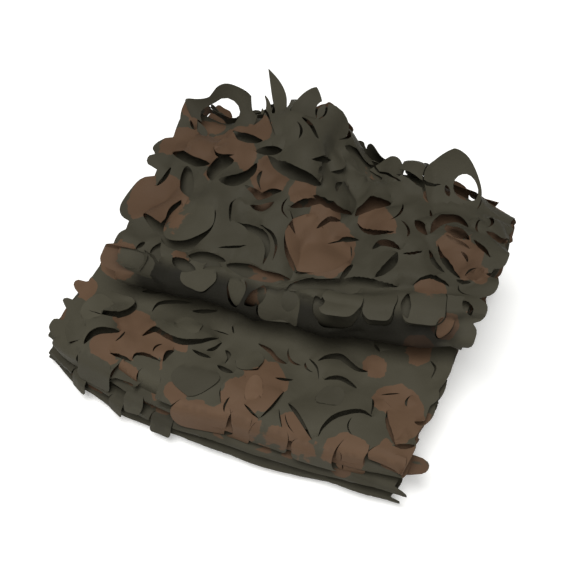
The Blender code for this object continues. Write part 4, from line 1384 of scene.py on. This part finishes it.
# %% [markdown]
# ## The flat drawing
#
# The cuts and the two edges are lines that must stay in the mesh, and between them points are
# sprinkled: close together where the cloth is seen, and wide apart inside the bundle. Delaunay
# triangulation joins them all, and what lies inside a cut is left out.

# %% How close the points are
FINE = 3.9 * MM
MEDIUM = 8 * MM
WIDE = 28 * MM
TURN_STEP = 3.4 * MM
END_STRIP = 40 * MM
SIDE_STRIP = 24 * MM
POINT_APART = 2.0 * MM
POINT_JITTER = 0.18  # of the distance between points
NO_MIDDLE = 1.0  # metres: a row this wide apart has points only in its two edge strips
STACK_FOLDS = [f"front_fold_{k}" for k in (1, 2, 3, 4)] + [f"back_fold_{k}" for k in (0, 1, 2, 3)]
SHOWN_SHARES = {"stack_top": 0.40, "roll_back": 1, "roll_top": 1, "roll_nose": 1}
SHOWN_SHARES.update({name: 1 for name in STACK_FOLDS})


# %% Points inside the cloth
def sprinkle(cloth, edges, rng):
    """Points for the inside of the cloth, closer together where it is seen."""
    places = []
    for piece in cloth.pieces:
        start, end = cloth.u[piece.first], cloth.u[piece.last]
        shown = SHOWN_SHARES.get(piece.name)
        if shown:
            step = FINE
        else:
            step = TURN_STEP if piece.is_turn else MEDIUM
        rows = max(2, round((end - start) / step))
        for k in range(rows):
            along = k / rows
            shift = 0.5 + 0.5 * (k % 2)  # every second row starts half a pitch further in
            u = start + (end - start) * along
            left, right = (np.interp(u, *edge) for edge in edges)
            from_end = min(u - start, end - u)
            pitch = FINE if shown and along <= shown else WIDE
            if pitch == WIDE and (piece.is_turn or from_end < END_STRIP):
                pitch = 1.5 * MEDIUM if k % 2 == 0 or piece.is_turn else WIDE
            elif pitch == WIDE and k % 4:
                pitch = NO_MIDDLE
            line = list(np.arange(left + pitch * shift, right, pitch))
            if pitch > FINE:
                strip = np.arange(MEDIUM * shift, SIDE_STRIP, MEDIUM)
                line = [v for v in line if left + SIDE_STRIP < v < right - SIDE_STRIP]
                line += list(left + strip) + list(right - strip)
            jitter = POINT_JITTER * min(pitch, FINE)
            places += [(u + rng.uniform(-1, 1) * jitter, v + rng.uniform(-1, 1) * jitter) for v in line]
    return np.array(places)


# %% Which triangles are cloth
def in_a_gap(middle, gaps):
    """Which triangles lie in the gap of a cut, by their middles."""
    found = np.zeros(len(middle), bool)
    order = np.argsort(middle[:, 0])
    sorted_u = middle[order, 0]
    for line in gaps:
        ends = np.searchsorted(sorted_u, (line[:, 0].min(), line[:, 0].max()))
        near = order[ends[0] : ends[1]]
        found[near[inside(middle[near], line)]] = True
    return found


def largest_part(faces, count):
    """Which faces belong to the largest connected part."""
    parent = list(range(count))

    def root(k):
        while parent[k] != k:
            parent[k] = parent[parent[k]]
            k = parent[k]
        return k

    for a, b, c in faces.tolist():
        parent[root(a)] = root(b)
        parent[root(b)] = root(c)
    roots = np.array([root(a) for a in faces[:, 0].tolist()])
    kinds, sizes = np.unique(roots, return_counts=True)
    print("parts:", len(kinds), "sizes", sorted(sizes.tolist())[-4:])
    return roots == kinds[np.argmax(sizes)]


# %% The flat drawing
def draw_flat(cloth, edges, cuts):
    """The flat cloth as triangles: (flat places, triangles)."""
    rng = random.Random(SEED)
    points, lines = [], []

    def add_line(line):
        first = len(points)
        points.extend(map(tuple, line))
        lines.extend((first + k, first + k + 1) for k in range(len(line) - 1))
        lines.append((first + len(line) - 1, first))

    border = np.concatenate([np.stack(edges[0], axis=1), np.stack(edges[1], axis=1)[::-1]])
    add_line(border)
    gaps = [line for cut in cuts for line in cut.outlines()]
    for line in gaps:
        add_line(line)
    taken = KDTree(len(points))
    for k, (u, v) in enumerate(points):
        taken.insert((u, v, 0), k)
    taken.balance()
    for u, v in sprinkle(cloth, edges, rng):
        if taken.find((u, v, 0))[2] > POINT_APART:
            points.append((u, v))
    corners = [Vector(point) for point in points]
    places, _, faces, *_ = delaunay_2d_cdt(corners, lines, [], 0, MERGE_WITHIN, False)
    places, faces = np.array([p[:] for p in places]), np.array(faces)
    middle = places[faces].mean(axis=1)
    low, high = (np.interp(middle[:, 0], *edge) for edge in edges)
    faces = faces[(middle[:, 1] > low) & (middle[:, 1] < high) & ~in_a_gap(middle, gaps)]
    faces = faces[largest_part(faces, len(places))]
    used, index = np.unique(faces, return_inverse=True)
    return places[used], index.reshape(-1, 3)


flat, triangles = draw_flat(cloth, edges, cutter.cuts)
print(f"flat drawing: {len(flat)} points, {len(triangles)} triangles")

# %% [markdown]
# ## Folding it up
#
# Every point of the flat drawing looks up its folded place on the grid. Then the lips of the
# open cuts are raised, and the tongues stand up from their hinges.

# %% Raising the lips
folded = cloth.sample(cloth.grid, flat[:, 0], flat[:, 1])
normal = cloth.sample(cloth.normal, flat[:, 0], flat[:, 1])
by_u = np.argsort(flat[:, 0])
sorted_flat_u = flat[by_u, 0]


def near_cut(cut, margin):
    """The points that are no further from a cut's middle than its reach and a margin."""
    reach = cut.reach + margin
    ends = np.searchsorted(sorted_flat_u, (cut.middle[0] - reach, cut.middle[0] + reach))
    near = by_u[ends[0] : ends[1]]
    return near[np.hypot(*(flat[near] - cut.middle).T) < reach]


lips = np.zeros(len(flat))
for cut in cutter.cuts:
    if isinstance(cut, OpenCut):
        near = near_cut(cut, 3 * cut.lip_width)
        lips[near] += cut.height(flat[near])
folded += normal * lips[:, None]
print(f"lips stand up to {abs(lips).max() / MM:.1f} mm off the cloth")

# %% Standing the tongues up
FLOOR_REST = 0.45 * MM

owner = np.full(len(flat), -1)  # which cut's tongue a point is on
for index, cut in enumerate(cutter.cuts):
    if isinstance(cut, Leaf):
        near = near_cut(cut, 0.0)
        on_tongue = near[cut.holds(flat[near])]
        if len(on_tongue):
            folded[on_tongue] = cut.stand(cloth, flat[on_tongue])
            owner[on_tongue] = index
below = folded[:, 2] < FLOOR_REST
folded[below, 2] = FLOOR_REST  # what would hang below the floor lies on it
print(f"{(owner >= 0).sum()} points are on {len(set(owner.tolist())) - 1} tongues")
print(f"{below.sum()} points were lifted onto the floor")

# %% [markdown]
# ## The cloth as an object
#
# The triangles become one mesh in its folded place. Its UV map is the flat place in metres, so
# a print or a weave follows the cloth round every fold. Its thickness comes after the print.

# %% The net
def make_net(folded, triangles, flat):
    mesh = bpy.data.meshes.new("leaf_cut_cloth")
    mesh.from_pydata(folded.tolist(), [], triangles[:, ::-1].tolist())
    net = bpy.data.objects.new("leaf_cut_cloth", mesh)
    bpy.context.scene.collection.objects.link(net)
    corners = np.array([loop.vertex_index for loop in mesh.loops])
    uv = mesh.uv_layers.new(name="flat_cloth")
    uv.data.foreach_set("uv", flat[corners][:, ::-1].ravel())
    return net


net = make_net(folded, triangles, flat)
print("net has", len(net.data.polygons), "triangles before its thickness")

# %% [markdown]
# ## Where the print is brown
#
# The print is an ordinary two-colour camouflage: brown patches with wandering borders on olive
# green. The layers that the photo shows get their brown as round patches, each given by the pixel
# of its middle and a radius. A patch stops at a cut, because on the real cloth the two sides of a
# cut have slid apart. The other layers get loose patches by noise. A leaf takes most of its
# colour from the rest of its tongue, which is why neighbouring leaves differ.
#
# Under the roll's nose and between the layers the colour is darkened beyond the scene's own
# shade: that is painted shade. Each outer piece is also made lighter or darker as a whole, which
# is painted light and shade.

# %% Brown areas
# photo pixels
PATCH_COLUMNS = ("x", "y", "radius")
PATCH_ROWS = (
    (205, 132, 42),
    (250, 122, 24),
    (182, 152, 24),
    (225, 152, 32),
    (270, 176, 20),
    (302, 192, 14),
    (160, 205, 32),
    (325, 248, 30),
    (325, 212, 16),
    (376, 226, 20),
    (458, 256, 26),
    (430, 290, 16),
    (445, 325, 14),
    (120, 260, 20),
    (85, 288, 12),
    (180, 260, 9),
    (128, 345, 36),
    (165, 348, 24),
    (176, 392, 12),
    (105, 350, 16),
    (195, 412, 13),
    (222, 424, 14),
    (240, 395, 22),
    (262, 385, 26),
    (240, 420, 22),
    (295, 435, 24),
    (345, 455, 22),
    (395, 415, 30),
    (400, 455, 22),
    (375, 367, 12),
    (418, 350, 16),
    (435, 192, 12),
    (480, 275, 10),
)
PATCH_SOFTNESS = 5
OLIVE_DEPTH = -2.0  # a brown value far from every patch
INK_LIMIT = 1.5
LOOSE_PATCH_SIZE = 75 * MM
LOOSE_PATCH_SLOPE = 5
LOOSE_PLANE = 9.5
BACK_BROWN_FROM = 0.12  # the roll's back is brown where the noise is above this
HIDDEN_BROWN_FROM = 0.30
LEAF_SHARE = 0.7  # how much of a tongue's colour is its middle value
SEEN_PIECES = ("roll_top", "roll_nose", "stack_top", *(f"front_fold_{k}" for k in (4, 3, 2, 1)))
BACK_SEEN_FROM = 0.8  # the camera sees the roll's back from here up
# painted shade: it starts this far in from an edge, and is at its darkest this much deeper
PAINTED_SHADE_FROM = 10 * MM  # the ink gets dark this far in from an edge
PAINTED_SHADE_WITHIN = 20 * MM  # and is at its darkest this much deeper
# painted light and shade on each outer piece: above zero it is lighter, below zero darker than plain
# ink
PAINTED_LIGHT_AND_SHADE_SHARES = {
    "stack_top": 0.24,
    "roll_top": -0.06,
    "front_fold_4": 0.04,
    "front_fold_3": -0.16,
    "front_fold_2": -0.24,
    "front_fold_1": -0.24,
}
# painted shade: the hidden layers get a share of the painted shade under the roll's nose, and the
# nose's first few millimetres get none
HIDDEN_SHADE_SHARE = 0.22  # the hidden layers have this share of the dark under the nose
NOSE_UNSHADED = 6 * MM  # the light has bleached the nose this far down


# %% Back to the photo
def to_photo(places):
    """The photo pixels at which places are seen."""
    right, up, back = (np.array(axis) for axis in camera_axes())
    away = places - np.array(camera.location)
    scale = LENS_MM / SENSOR_MM * PHOTO_SIZE / -(away @ back)
    return PHOTO_SIZE / 2 + scale * (away @ right), PHOTO_SIZE / 2 - scale * (away @ up)


def cut_off(x, y, centre, walls):
    """Which pixels can't be reached from the centre in a straight line, because of a cut."""
    starts, ends = walls
    away = np.stack([x, y], axis=1) - centre
    near = np.hypot(*(starts - centre).T) < np.hypot(*away.T).max(initial=0)
    starts, ends = starts[near], ends[near]
    along = ends - starts

    def turn(a, b):
        return a[..., 0] * b[..., 1] - a[..., 1] * b[..., 0]

    one_side = turn(away[:, None], starts[None] - centre) > 0
    other_side = turn(away[:, None], ends[None] - centre) > 0
    at_centre = turn(along, centre - starts) > 0
    at_place = turn(along[None], away[:, None] + centre - starts[None]) > 0
    return ((one_side != other_side) & (at_centre[None] != at_place)).any(axis=1)


# %% How brown each place is
def brown_field(places, flat, seen, inner):
    """Above zero where the print is brown: patches where the photo shows the cloth, or noise."""
    x, y = to_photo(places)
    curves = [photo_curve(row[0]) for row in ROLL_CUT_ROWS + STACK_CUT_ROWS]
    walls = np.concatenate([c[:-1] for c in curves]), np.concatenate([c[1:] for c in curves])
    patches = np.full(len(places), OLIVE_DEPTH)
    for row in table(PATCH_COLUMNS, PATCH_ROWS):
        depth = (row["radius"] - np.hypot(x - row["x"], y - row["y"])) / PATCH_SOFTNESS
        near = np.flatnonzero(seen & (depth > -INK_LIMIT))
        depth[near[cut_off(x[near], y[near], (row["x"], row["y"]), walls)]] = OLIVE_DEPTH
        patches = np.maximum(patches, depth)
    least = np.where(inner > 0, HIDDEN_BROWN_FROM, BACK_BROWN_FROM)
    bumps = noise_field(flat[:, 0], flat[:, 1], LOOSE_PATCH_SIZE, LOOSE_PLANE)
    loose = (bumps - least) * LOOSE_PATCH_SLOPE
    return np.clip(np.where(seen, patches, loose), -INK_LIMIT, INK_LIMIT)


def seen_from_the_front(cloth, flat):
    seen = cloth.on("roll_back", flat[:, 0])
    seen &= flat[:, 0] >= cloth.place_on("roll_back", BACK_SEEN_FROM)
    for name in SEEN_PIECES:
        seen |= cloth.on(name, flat[:, 0])
    return seen


# %% How much painted shade each place gets
def painted_shade_share(cloth, edges, flat):
    """The painted shade: 0 on the outermost layers and along every edge and fold, 1 deep under the
    roll's nose, and a share of that deep inside the bundle.
    """
    low, high = (np.interp(flat[:, 0], *edge) for edge in edges)
    depth = np.minimum(flat[:, 1] - low, high - flat[:, 1])
    for piece in cloth.pieces:
        on = cloth.on(piece.name, flat[:, 0])
        if piece.name == "roll_nose":
            depth[on] = np.minimum(depth[on], flat[on, 0] - cloth.u[piece.first] - NOSE_UNSHADED)
        elif piece.name in ("roll_top", "roll_back") or piece.is_turn and "inner" not in piece.name:
            depth[on] = 0
        elif piece.name == "stack_top":
            crease = cloth.section.at("crease", flat[on, 1])
            start = cloth.section.stack_end(STACK_LAYERS - 1, flat[on, 1], True)
            depth[on] = np.minimum(depth[on], start + (flat[on, 0] - cloth.u[piece.first]) - crease)
        elif not piece.is_turn:
            from_end = np.minimum(flat[on, 0] - cloth.u[piece.first], cloth.u[piece.last] - flat[on, 0])
            depth[on] = np.minimum(depth[on], from_end)
    share = ease((depth - PAINTED_SHADE_FROM) / PAINTED_SHADE_WITHIN)
    return np.where(cloth.on("roll_nose", flat[:, 0]), share, share * HIDDEN_SHADE_SHARE)


# %% Writing the print onto the cloth
# inner is the painted shade, and below it also holds painted light and shade on the outer pieces
inner = painted_shade_share(cloth, edges, flat)
brown = brown_field(folded, flat, seen_from_the_front(cloth, flat), inner)
tone = np.zeros(len(flat))
for index, cut in enumerate(cutter.cuts):
    mine = owner == index
    if isinstance(cut, Leaf) and mine.any():
        middle = np.median(brown[mine])
        brown[mine] = brown[mine] * (1 - LEAF_SHARE) + middle * LEAF_SHARE + cut.look["tone"]
        tone[mine] = rng.uniform(-1, 1) + cut.look["light"]
# the tongues get no painted shade
inner[owner >= 0] = 0  # tongues stand out in the light
# painted light and shade: each outer piece is made lighter or darker as a whole
for name, share in PAINTED_LIGHT_AND_SHADE_SHARES.items():
    inner[cloth.on(name, flat[:, 0]) & (inner <= 0)] = -share
# the attribute inner carries the painted shade and the painted light and shade of the outer pieces
for name, values in (("brown", brown), ("leaf_tone", tone), ("inner", inner)):
    layer = net.data.attributes.new(name, "FLOAT", "POINT")
    layer.data.foreach_set("value", values.astype(np.float32))
print(f"{(brown > 0).mean():.0%} of the points are brown")


# %% [markdown]
# ## Thickness
#
# Such cloth is about 0.3 mm thick. Here it is 0.7 mm, so that its cut rims catch some light and
# both its sides are real surfaces. Solidify makes the wall, half of it on each side, and shading
# stays sharp where the rims turn.

# %% Thickness and shading
CLOTH_THICKNESS = 0.7 * MM
SHARP_ANGLE = math.radians(30)


def finish_cloth(net):
    bpy.ops.object.select_all(action="DESELECT")
    net.select_set(True)
    bpy.context.view_layer.objects.active = net
    wall = net.modifiers.new("thickness", "SOLIDIFY")
    wall.thickness = CLOTH_THICKNESS
    wall.offset = 0.0
    bpy.ops.object.modifier_apply(modifier=wall.name)
    bpy.ops.object.shade_smooth_by_angle(angle=SHARP_ANGLE)


finish_cloth(net)
print("net has", len(net.data.polygons), "faces")

# %% [markdown]
# ## The finish
#
# The real cloth is taken to be a thin polyester, coated so that it doesn't fray, and printed in
# matt ink. To the eye that is a dry, even surface that hardly shines from any side, a fine weave
# that only shows as a little roughness, and soft wrinkles from being packed. All of it is noise
# on the flat cloth, at real sizes but for the weave, which would be too fine.

# %% Colour and node helpers
OLIVE = "3D3A2F"
OLIVE_LIGHT = "444136"
BROWN = "5C4837"
BROWN_DARK = "523F30"
FLOOR_WHITE = "FAFAF8"


def linear(hex_code):
    """A colour picked as sRGB hex, as the linear numbers that the shader works in."""
    parts = [int(hex_code[k : k + 2], 16) / 255 for k in (0, 2, 4)]
    return tuple(c / 12.92 if c <= 0.04045 else ((c + 0.055) / 1.055) ** 2.4 for c in parts) + (1.0,)


def add_node(tree, kind, settings=(), inputs=()):
    """Adds a node, sets its settings, and fills or links its inputs."""
    node = tree.nodes.new(kind)
    for name, value in dict(settings).items():
        setattr(node, name, value)
    for name, value in dict(inputs).items():
        if isinstance(value, bpy.types.NodeSocket):
            tree.links.new(value, node.inputs[name])
        else:
            node.inputs[name].default_value = value
    return node


# %% Coated, printed polyester
GRAIN_COLUMNS = ("name", "size_mm", "detail")
GRAIN_ROWS = (
    ("ink_edge", 14.0, 3),
    ("mottle", 60.0, 2),
    ("rubbed", 27.0, 2),
    ("wrinkle", 9.0, 3),
    ("weave", 1.1, 1),  # the real threads are 0.3 mm apart, too fine to show
)
INK_WANDER = 1.6  # how far the noise moves the border between the inks
INK_BLUR = 0.06
LEAF_CONTRAST = 0.16  # the lightest and darkest leaves differ this much from the rest
# painted shade: where inner is 1 the colour keeps this share of its value
PAINTED_SHADE_VALUE = 0.25  # deep inside the ink has this share of its value
ROUGHNESSES = (0.62, 0.76)
COAT_SHINE = 0.12
WRINKLE_DEPTH = 1.2 * MM
WEAVE_DEPTH = 0.2 * MM


def printed_colour(tree, attribute, grain):
    """Two inks with a crisp border that wanders, each a little mottled."""
    mixing = {"data_type": "RGBA"}
    adding = {"operation": "MULTIPLY_ADD"}
    wander = {0: grain["ink_edge"], 1: INK_WANDER, 2: -INK_WANDER / 2}
    border = add_node(tree, "ShaderNodeMath", adding, wander).outputs[0]
    ink = add_node(tree, "ShaderNodeMath", {"operation": "ADD"}, {0: attribute["brown"], 1: border})
    blur = {"Value": ink.outputs[0], "From Min": -INK_BLUR, "From Max": INK_BLUR}
    is_brown = add_node(tree, "ShaderNodeMapRange", {}, blur).outputs["Result"]
    olives = {0: grain["mottle"], 6: linear(OLIVE), 7: linear(OLIVE_LIGHT)}
    browns = {0: grain["mottle"], 6: linear(BROWN), 7: linear(BROWN_DARK)}
    olive_ink = add_node(tree, "ShaderNodeMix", mixing, olives).outputs[2]
    brown_ink = add_node(tree, "ShaderNodeMix", mixing, browns).outputs[2]
    inks = {0: is_brown, 6: olive_ink, 7: brown_ink}
    return add_node(tree, "ShaderNodeMix", mixing, inks).outputs[2]


def leaf_tone_and_painted_shade(tree, attribute):
    """Each leaf is lighter or darker by itself, and the inner attribute adds painted shade, and painted
    light and shade on the outer pieces.
    """
    adding = {"operation": "MULTIPLY_ADD"}
    by_leaf = {0: attribute["leaf_tone"], 1: LEAF_CONTRAST, 2: 1.0}
    by_painted_shade = {0: attribute["inner"], 1: PAINTED_SHADE_VALUE - 1, 2: 1.0}
    leaf_value = add_node(tree, "ShaderNodeMath", adding, by_leaf).outputs[0]
    shade_value = add_node(tree, "ShaderNodeMath", adding, by_painted_shade).outputs[0]
    both = {0: leaf_value, 1: shade_value}
    return add_node(tree, "ShaderNodeMath", {"operation": "MULTIPLY"}, both).outputs[0]


# %% The material
def coated_printed_polyester():
    """Matt and a little chalky, printed in two inks, with a fine grain and packing wrinkles."""
    material = bpy.data.materials.new("coated_printed_polyester")
    material.use_nodes = True
    tree = material.node_tree
    shader = tree.nodes["Principled BSDF"]
    flat_place = add_node(tree, "ShaderNodeUVMap", {"uv_map": "flat_cloth"}).outputs["UV"]
    attribute, grain = {}, {}
    for name in ("brown", "leaf_tone", "inner"):
        node = add_node(tree, "ShaderNodeAttribute", {"attribute_name": name})
        attribute[name] = node.outputs["Fac"]
    for row in table(GRAIN_COLUMNS, GRAIN_ROWS):
        look = {"Vector": flat_place, "Scale": 1 / (row["size_mm"] * MM), "Detail": row["detail"]}
        node = add_node(tree, "ShaderNodeTexNoise", {"noise_dimensions": "2D"}, look)
        grain[row["name"]] = node.outputs["Fac"]

    # the value carries the random leaf tone and the painted light and shade
    tone = {"Color": printed_colour(tree, attribute, grain), "Value": leaf_tone_and_painted_shade(tree, attribute)}
    toned = add_node(tree, "ShaderNodeHueSaturation", {}, tone)
    tree.links.new(toned.outputs["Color"], shader.inputs["Base Color"])

    rubbed = {"Value": grain["rubbed"], "To Min": ROUGHNESSES[0], "To Max": ROUGHNESSES[1]}
    rough = add_node(tree, "ShaderNodeMapRange", {}, rubbed)
    tree.links.new(rough.outputs["Result"], shader.inputs["Roughness"])
    shader.inputs["Specular IOR Level"].default_value = COAT_SHINE
    wrinkle = {"Height": grain["wrinkle"], "Strength": 0.35, "Distance": WRINKLE_DEPTH}
    wrinkled = add_node(tree, "ShaderNodeBump", {}, wrinkle).outputs["Normal"]
    weave = {
        "Height": grain["weave"],
        "Strength": 0.25,
        "Distance": WEAVE_DEPTH,
        "Normal": wrinkled,
    }
    woven = add_node(tree, "ShaderNodeBump", {}, weave)
    tree.links.new(woven.outputs["Normal"], shader.inputs["Normal"])
    return material


net.data.materials.clear()
net.data.materials.append(coated_printed_polyester())
print("material:", net.data.materials[0].name)

# %% [markdown]
# ## Floor and light
#
# The photo is a cut-out on white, so the floor is pale and bright enough to go white. A large
# soft light hangs overhead, which leaves the roll's nose in its own shade. A weak one stands by
# the camera, so that the gaps are dark but never black.

# %% Floor and light
FLOOR_SIZE = 14.0
FLOOR_GLOW = 0.26
LIGHT_COLUMNS = ("name", "strength", "spread", "place")
LIGHT_ROWS = (
    ("soft_overhead", 2.35, 36, (-0.12, -0.32, 1.5)),
    ("weak_fill", 0.85, 24, tuple(camera.location)),
)
WORLD_STRENGTH = 0.1


def add_floor():
    bpy.ops.mesh.primitive_plane_add(size=FLOOR_SIZE, location=(0, 0, 0))
    floor = bpy.context.active_object
    floor.name = "floor"
    material = bpy.data.materials.new("matt_white_card")
    material.use_nodes = True
    shader = material.node_tree.nodes["Principled BSDF"]
    shader.inputs["Base Color"].default_value = linear(FLOOR_WHITE)
    shader.inputs["Roughness"].default_value = 0.9
    shader.inputs["Specular IOR Level"].default_value = 0.1
    shader.inputs["Emission Color"].default_value = linear(FLOOR_WHITE)
    shader.inputs["Emission Strength"].default_value = FLOOR_GLOW
    floor.data.materials.append(material)
    return floor


def add_sun(row):
    sun = bpy.data.objects.new(row["name"], bpy.data.lights.new(row["name"], "SUN"))
    bpy.context.scene.collection.objects.link(sun)
    sun.data.energy, sun.data.angle = row["strength"], math.radians(row["spread"])
    sun.location = row["place"]
    sun.rotation_euler = Vector(row["place"]).to_track_quat("Z", "Y").to_euler()
    return sun


floor = add_floor()
suns = [add_sun(row) for row in table(LIGHT_COLUMNS, LIGHT_ROWS)]
world = bpy.data.worlds.new("soft_white")
world.use_nodes = True
world.node_tree.nodes["Background"].inputs["Color"].default_value = (1.0, 1.0, 1.0, 1.0)
world.node_tree.nodes["Background"].inputs["Strength"].default_value = WORLD_STRENGTH
bpy.context.scene.world = world
bpy.context.scene.view_settings.view_transform = "Standard"
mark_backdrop(floor, *suns)
print("lights:", [sun.name for sun in suns])

# %% [markdown]
# ## What the net is to the frame
#
# The net stands for the one solid of the frame. It is a sheet that was cut flat and then folded,
# and it rests on the floor. Its flat length is all the runs and half turns one after the other.
# Its side edges are 410 mm apart on average, and its flat width is a little less than that,
# because the gaps of its cuts are taken out of its area.

# %% Riding, replacing and finishing
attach(net, "root")
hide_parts("camouflage_net")
visual_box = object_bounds()
for low, high, start in zip(visual_box[0], visual_box[1], cad_box[0]):
    print(f"visual from {low / MM:.0f} to {high / MM:.0f} mm, solid from {start / MM:.0f}")
